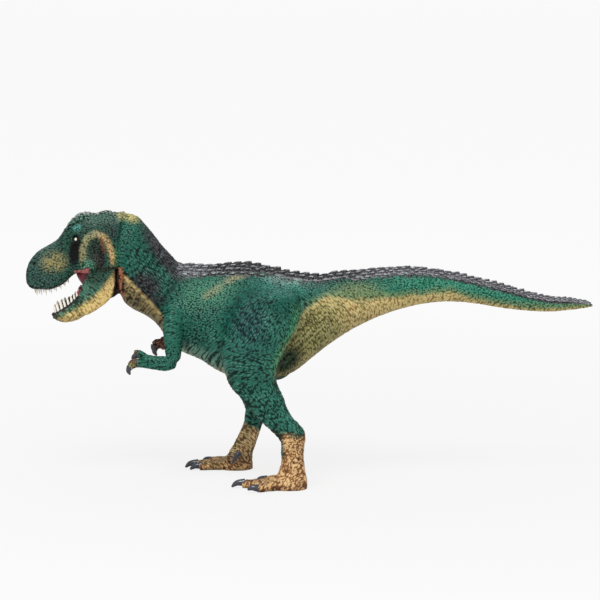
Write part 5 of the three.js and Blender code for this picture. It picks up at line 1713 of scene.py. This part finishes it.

# %% [markdown]
# ## Claws and eyes
# Claws are horn and eyes are glass on the animal, and on the toy both are glossy paint on smooth forms,
# so they are pieces of their own, without the skin's grain. A claw is a bent cone: rings along a short
# line that thin to a tip. An eye is a ball with a cream spot, which is a painted highlight.

# %% Claws
CLAW_SHARES = (1.05, 1.05, 0.95, 0.7, 0.22)  # of its radius, from the root to the tip
TOE_CLAW_RADIUS, SMALL_CLAW_RADIUS = 0.024, 0.019  # shares of the width
CLAW_ROOT = 0.35  # how far a claw reaches back into its toe, against its first stretch
CLAW_DROP = 0.94  # toe claws sit a little lower, as the toes do
CLAW_FLOOR = 0.05  # mm


def claw_rings(line, radius, corners):
    line = np.vstack([line[0] + (line[0] - line[1]) * CLAW_ROOT, line])
    return limb_rings(line, np.array(CLAW_SHARES) * radius * WIDTH, corners, 5)


def add_claws():
    for name, side in SIDES.items():
        toes = [(claw, TOE_CLAW_RADIUS) for claw in (MIDDLE_CLAW, OUTER_CLAW, INNER_CLAWS[name])]
        toes.append((HALLUX_CLAW, SMALL_CLAW_RADIUS))
        rings = [claw_rings(limb_points(np.array(claw) - (STRIDES[name], 0, 0), side), radius, 16)
                 for claw, radius in toes]
        join_claws(f"{name}_toe_claws", rings, CLAW_DROP)
        rings = [claw_rings(limb_points(claw, side, (0, 2, 1)), SMALL_CLAW_RADIUS, 12)
                 for claw in ARMS[name]["claws"]]
        join_claws(f"{name}_finger_claws", rings, 1)


def join_claws(name, claws, drop):
    """One piece from the rings of some claws."""
    for rings in claws:
        rings[:, :, 2] = np.maximum(rings[:, :, 2] * drop, CLAW_FLOOR)
    thing = mesh_from(name, *joined([skin_over(rings) for rings in claws]))
    shade_smooth(thing.data)
    thing.data.materials.append(claw_slate)
    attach(thing, "figure")
    print(name, len(claws), "claws")


add_claws()

# %% Eyes
EYE_RADIUS, SPOT_RADIUS = 1.9, 0.85  # mm
SPOT_OUT = 1.25  # mm from the eye's middle to the spot's


def ball_rings(centre, radius, corners, count, axis):
    """Rings of a ball round an axis."""
    z = Vector(axis).normalized()
    x = z.orthogonal().normalized()
    y = z.cross(x)
    rows = []
    for a in np.linspace(0, math.pi, count + 2)[1:-1]:
        ring = []
        for b in np.linspace(0, 2 * math.pi, corners, endpoint=False):
            across = math.cos(b) * np.array(x) + math.sin(b) * np.array(y)
            ring.append(np.array(centre) + radius * (math.cos(a) * np.array(z) + math.sin(a) * across))
        rows.append(ring)
    return np.array(rows)


for name, side in SIDES.items():
    centre = np.array([EYE[0], side * EYE[1], EYE[2]])
    bead = ball_rings(centre, EYE_RADIUS, 24, 14, (-0.15, side, 0.1))
    ring_piece(f"{name}_eye_bead", bead, eye_black, "figure", f"{name}_eye")
    # A cream spot out, forward and up on each eye: a painted highlight
    outward = np.array([-0.12, side, 0.14])
    outward /= np.linalg.norm(outward)
    spot = ball_rings(centre + outward * SPOT_OUT, SPOT_RADIUS, 16, 8, tuple(outward))
    ring_piece(f"{name}_eye_spot", spot, eye_cream, "figure", f"{name}_eye")

# %% [markdown]
# ## Crown
# The top of the real head has larger round scales, pale where the dry brush went over them. They are
# domes on the skin, set by the same tree as the plates, from the snout over the brow to the crown.

# %% Scales on the crown
# First x, distance from the middle and pitch of each row
CROWN_ROWS = ((-136, 1.6, 2.3), (-135.5, 4, 2.2), (-134, 6.4, 2.1), (-132, 8.6, 2))
CROWN_END = -107
BROW = (-127.5, 5)  # its x and its reach, where the scales are larger
SCALE_SIZE = (1.8, 1.7, 0.4)  # mm
SCALE_RINGS = [(0.5, 0.5, 0, -0.5), (0.52, 0.52, 0, 0), (0.42, 0.42, 0, 0.5), (0.24, 0.24, 0, 0.86),
               (0.06, 0.06, 0, 1)]
SCALE_HEIGHTS = (-0.6, -0.3, 0, 0.3, 0.5)  # for the paint


def crown_scales(random):
    """Place, normal and size of the scales, the same rows on both sides."""
    found = []
    for first, offset, pitch in CROWN_ROWS:
        for side in SIDES.values():
            x = first
            while x < CROWN_END:
                hit, normal = skin_below(x, side * offset)
                if hit:
                    brow = math.exp(-((x - BROW[0]) / BROW[1]) ** 2)
                    size = random.uniform(0.85, 1.15) * (1 + 0.55 * brow)
                    found.append((hit, normal, np.array(SCALE_SIZE) * size * (1, 1, 1 + 1.2 * brow)))
                x += pitch * random.uniform(0.85, 1.15)
    return found


found = crown_scales(np.random.default_rng(11))
tone = np.random.default_rng(12).uniform(0.8, 1.2, (len(found), 1))
aside = ramp(3.2, 6, np.array([abs(place.y) for place, _, _ in found]))[:, None]
scale_colour = (srgb(150, 158, 152) * (1 - aside) + srgb(56, 104, 88) * aside) * tone
template = ring_template("scale_shape", SCALE_RINGS, 10, SCALE_HEIGHTS)
turns = [keyed_euler(normal, (1, 0, 0)) for _, normal, _ in found]
crown = set_on_skin("crown_scales", template, found, turns, scale_colour, srgb(*CHARCOAL_WASH), 0.5)

# %% [markdown]
# ## Materials
# One shader group mixes the three layers of paint: the wash in the hollows, the coat itself and the dry
# brush on the peaks. Cells of a fine Voronoi pattern give the skin its grain, which runs level, falls or
# rises with the skin's folds, and noise breaks its edges. An image would show its pixels from close up.

# %% Sizes of the grain
GRAIN_SCALE = 1080  # cells in a metre
GRAIN_TURNS = {"level": 4, "falling": 60, "rising": -48}  # degrees about the width of the figure
GRAIN_STRETCH, PLAIN_STRETCH = 2.4, 1.2  # length of a cell against its width, with a direction and without
DUST_SCALE, DUST_WAVE, DUST_SHARE = 380, 0.0012, 0.2  # noise that breaks the edges of the grain
HOLLOW = (-0.01, -0.2)  # heights between which the wash sets in
PEAK = (0.17, 0.34)  # heights between which the dry brush sets in
MIDDLE_WASH = 0.32  # how much of the wash stays on level ground
HEIGHT_SHARE = 0.6  # how much the carved relief counts beside the grain
BRUSH = (0.8, 0.95, 0.85)
BRUSH_SHARE = 0.3
ROUGHNESS, HOLLOW_ROUGHNESS = 0.36, 0.35  # of the paint, and what a hollow adds

# %% Painted skin
def grain_dome(tree, place, turn, stretch):
    """Domes on the cells of a fine Voronoi pattern, longer in one direction of the side view."""
    turned = add_node(tree, "ShaderNodeVectorRotate", {"Vector": place, "Angle": math.radians(turn)},
                      rotation_type="Y_AXIS").outputs[0]
    return calculate(tree, "SUBTRACT", 0.42, flat_cells(tree, turned, GRAIN_SCALE / stretch, GRAIN_SCALE))


def add_grain(tree, place, noise, turns):
    """The grain of all directions, each with its share. The rest gets cells without a direction."""
    wave = add_node(tree, "ShaderNodeVectorMath", {0: noise, "Scale": DUST_WAVE}, operation="SCALE")
    wavy = add_node(tree, "ShaderNodeVectorMath", {0: place, 1: wave.outputs[0]}, operation="ADD").outputs[0]
    shares = add_node(tree, "ShaderNodeSeparateColor", {0: turns})
    plain_share = 1
    dome = 0
    for share, turn in zip(shares.outputs, GRAIN_TURNS.values()):
        part = calculate(tree, "MULTIPLY", grain_dome(tree, wavy, turn, GRAIN_STRETCH), share)
        dome = calculate(tree, "ADD", dome, part)
        plain_share = calculate(tree, "SUBTRACT", plain_share, share)
    plain_part = calculate(tree, "MULTIPLY", grain_dome(tree, place, 0, PLAIN_STRETCH), plain_share)
    return calculate(tree, "ADD", dome, plain_part)


def mixed(tree, share, first, second):
    """A mix of two colours, each of them a colour or a link."""
    return add_node(tree, "ShaderNodeMix", {0: share, 6: first, 7: second}, data_type="RGBA").outputs[2]


def painted_group():
    tree, given, out = new_tree(
        "painted relief", "ShaderNodeTree",
        {"Paint": (COLOUR, None), "Wash": (COLOUR, None), "Turns": (COLOUR, None), "Height": (FLOAT, 0),
         "Grain": (FLOAT, 0.8), "Glint": (FLOAT, 1)},
        {"Color": COLOUR, "Roughness": FLOAT, "Normal": "NodeSocketVector"})
    place = add_node(tree, "ShaderNodeTexCoord").outputs["Object"]
    dust = add_node(tree, "ShaderNodeTexNoise", {"Vector": place, "Scale": DUST_SCALE, "Detail": 3})
    dome = add_grain(tree, place, dust.outputs["Color"], given.outputs["Turns"])
    grain = calculate(tree, "MULTIPLY", dome, given.outputs["Grain"])
    carved = calculate(tree, "MULTIPLY", given.outputs["Height"], HEIGHT_SHARE)
    cloudy = calculate(tree, "MULTIPLY", calculate(tree, "SUBTRACT", dust.outputs["Fac"], 0.5), DUST_SHARE)
    uneven = calculate(tree, "ADD", calculate(tree, "ADD", carved, grain), cloudy)
    hollow, peak = (add_node(tree, "ShaderNodeMapRange", {"Value": uneven, "From Min": low, "From Max": high})
                    for low, high in (HOLLOW, PEAK))
    sunk = calculate(tree, "MULTIPLY", hollow.outputs[0], 1 - MIDDLE_WASH)
    sunk = calculate(tree, "ADD", MIDDLE_WASH, sunk)
    washed = mixed(tree, sunk, given.outputs["Paint"], given.outputs["Wash"])
    pale = mixed(tree, BRUSH_SHARE, given.outputs["Paint"], (*BRUSH, 1))
    bright = calculate(tree, "MULTIPLY", peak.outputs[0], given.outputs["Glint"], clamp=True)
    tree.links.new(mixed(tree, bright, washed, pale), out.inputs["Color"])
    rougher = calculate(tree, "MULTIPLY", hollow.outputs[0], HOLLOW_ROUGHNESS)
    tree.links.new(calculate(tree, "ADD", ROUGHNESS, rougher), out.inputs["Roughness"])
    bump = add_node(tree, "ShaderNodeBump", {"Strength": 0.7, "Distance": 0.0005, "Height": grain})
    tree.links.new(bump.outputs["Normal"], out.inputs["Normal"])
    return tree


relief_group = painted_group()


def painted_material(name, **values):
    """A material that reads the paint, the wash and the height from a piece's vertices."""
    made, shader = new_material(name, Specular_IOR_Level=0.2)
    tree = made.node_tree
    group = tree.nodes.new("ShaderNodeGroup")
    group.node_tree = relief_group
    sockets = {"Paint": ("paint", "Color"), "Wash": ("wash", "Color"), "Turns": ("grain", "Color"),
               "Height": ("height", "Fac"), "Glint": ("paint", "Alpha")}
    for label, (attribute, socket) in sockets.items():
        source = add_node(tree, "ShaderNodeAttribute", attribute_name=attribute)
        tree.links.new(source.outputs[socket], group.inputs[label])
    for label, value in values.items():
        group.inputs[label].default_value = value
    tree.links.new(group.outputs["Color"], shader.inputs["Base Color"])
    tree.links.new(group.outputs["Roughness"], shader.inputs["Roughness"])
    tree.links.new(group.outputs["Normal"], shader.inputs["Normal"])
    return made


skin_paint = painted_material("painted_skin")
plate_paint = painted_material("painted_plates", Grain=0.25)
for piece in [*skins.values(), jaw_skin, crown, plates]:
    piece.data.materials.clear()
    piece.data.materials.append(plate_paint if piece is plates else skin_paint)

# %% [markdown]
# ## Hidden pieces
# The two halves of the core and the jaw's pin are inside. The solids are good enough for them, so they
# show as they are and only get plain materials, for whoever takes the skin off.

# %% Core and pin
hard_plastic = new_material("core_plastic", Base_Color=(*srgb(182, 186, 190), 1), Roughness=0.5)[0]
drawn_steel = new_material("pin_steel", Base_Color=(*srgb(176, 178, 182), 1), Roughness=0.28, Metallic=1)[0]
HIDDEN = {"core_left_half": hard_plastic, "core_right_half": hard_plastic, "jaw_hinge_pin": drawn_steel}
for node, made in HIDDEN.items():
    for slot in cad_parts[node].material_slots:
        slot.material = made

# %% [markdown]
# ## Floor and light
# The photograph has a white paper sweep, one broad soft light from above and pale light from the whole
# room. The world is white to the camera, and the floor keeps a faint soft shadow. White paper that is
# lit until it looks white would also light the figure too much, so the camera sees a glow of the paper's
# own instead.

# %% Levels of the paper and the room
PAPER_WHITE = 0.952  # what the photograph's paper shows, as linear light
PAPER_DIFFUSE = 0.62  # what the paper throws back at the figure
PAPER_SHEEN = 0.3  # what shiny surfaces mirror of the paper
PAPER_SEEN = 0.08  # what of it the camera sees, over a glow of its own, so the shadow stays faint
PAPER_GLOW = (0.82, 0.882)  # the glow near the figure and far from it, where the lamp's light ends
GLOW_RANGE = (0.1, 0.8)  # metres between which the glow changes
ROOM_LIGHT = 0.85
ROOM_SHEEN = 0.35  # what shiny surfaces mirror of the room, whose walls are darker than its light
FLOOR_REACH = 30  # metres from the middle to an edge
LAMP_PLACE = (-0.25, -0.6, 1.05)
LAMP_SIZE, LAMP_POWER = 0.55, 11  # metres and watts

# %% Floor
def camera_and_mirrors(tree):
    """Which rays come from the camera, and which from a shiny surface."""
    path = add_node(tree, "ShaderNodeLightPath")
    return path.outputs["Is Camera Ray"], path.outputs["Is Glossy Ray"]


def chosen(tree, switch, off, on):
    """One value where a ray isn't of a kind, and another where it is."""
    return add_node(tree, "ShaderNodeMapRange", {"Value": switch, "To Min": off, "To Max": on}).outputs[0]


def add_floor():
    corners = [(x * FLOOR_REACH, y * FLOOR_REACH, 0) for x, y in ((-1, -1), (1, -1), (1, 1), (-1, 1))]
    mesh = bpy.data.meshes.new("floor")
    mesh.from_pydata(corners, [], [(0, 1, 2, 3)])
    made, shader = new_material("paper", Roughness=0.9, Specular_IOR_Level=0, Emission_Color=(1, 1, 1, 1))
    tree = made.node_tree
    seen, shiny = camera_and_mirrors(tree)
    place = add_node(tree, "ShaderNodeTexCoord").outputs["Object"]
    away = add_node(tree, "ShaderNodeVectorMath", {0: place}, operation="LENGTH").outputs["Value"]
    glow = add_node(tree, "ShaderNodeMapRange",
                    {"Value": away, "From Min": GLOW_RANGE[0], "From Max": GLOW_RANGE[1],
                     "To Min": PAPER_GLOW[0], "To Max": PAPER_GLOW[1]}).outputs[0]
    tree.links.new(calculate(tree, "MULTIPLY", seen, glow), shader.inputs["Emission Strength"])
    shade = chosen(tree, seen, chosen(tree, shiny, PAPER_DIFFUSE, PAPER_SHEEN), PAPER_SEEN)
    tree.links.new(shade, shader.inputs["Base Color"])
    mesh.materials.append(made)
    floor = add_object("floor", mesh)


# %% Light
def add_world():
    world = bpy.data.worlds.new("studio")
    bpy.context.scene.world = world
    world.use_nodes = True
    tree = world.node_tree
    seen, shiny = camera_and_mirrors(tree)
    strength = chosen(tree, seen, chosen(tree, shiny, ROOM_LIGHT, ROOM_SHEEN), PAPER_WHITE)
    tree.links.new(strength, tree.nodes["Background"].inputs["Strength"])
    tree.nodes["Background"].inputs["Color"].default_value = (1, 1, 1, 1)


def add_lamp():
    """The broad soft light, which looks at what the camera looks at."""
    data = bpy.data.lights.new("key", "AREA")
    data.shape, data.size, data.energy = "DISK", LAMP_SIZE, LAMP_POWER
    lamp = add_object("key", data)
    lamp.location = LAMP_PLACE
    lamp.rotation_mode = "QUATERNION"
    lamp.rotation_quaternion = (AIM - lamp.location).to_track_quat("-Z", "Y")


add_floor()
add_world()
add_lamp()
print("lit by one lamp of", LAMP_POWER, "W and the room")

# %% [markdown]
# ## Inside the solids' box
# The figure has to fit where its solids fit, but the relief pushes a few points out of their box. Pressing
# them back costs less than a smaller figure would, because they are only the widest and the highest ones.

# %% Press the widest points back
BOX_MARGIN = 0.02  # mm
low, high = (np.array(corner) / MM for corner in cad_box)
for thing in [*skins.values(), plates, crown]:
    p = points_of(thing.data)
    kept = np.clip(p, low + BOX_MARGIN, high - BOX_MARGIN)
    set_points(thing.data, kept)
    print(thing.name, "points pressed back:", int((kept != p).any(axis=1).sum()))

# %% Finish
bpy.context.scene.view_settings.view_transform = "Standard"
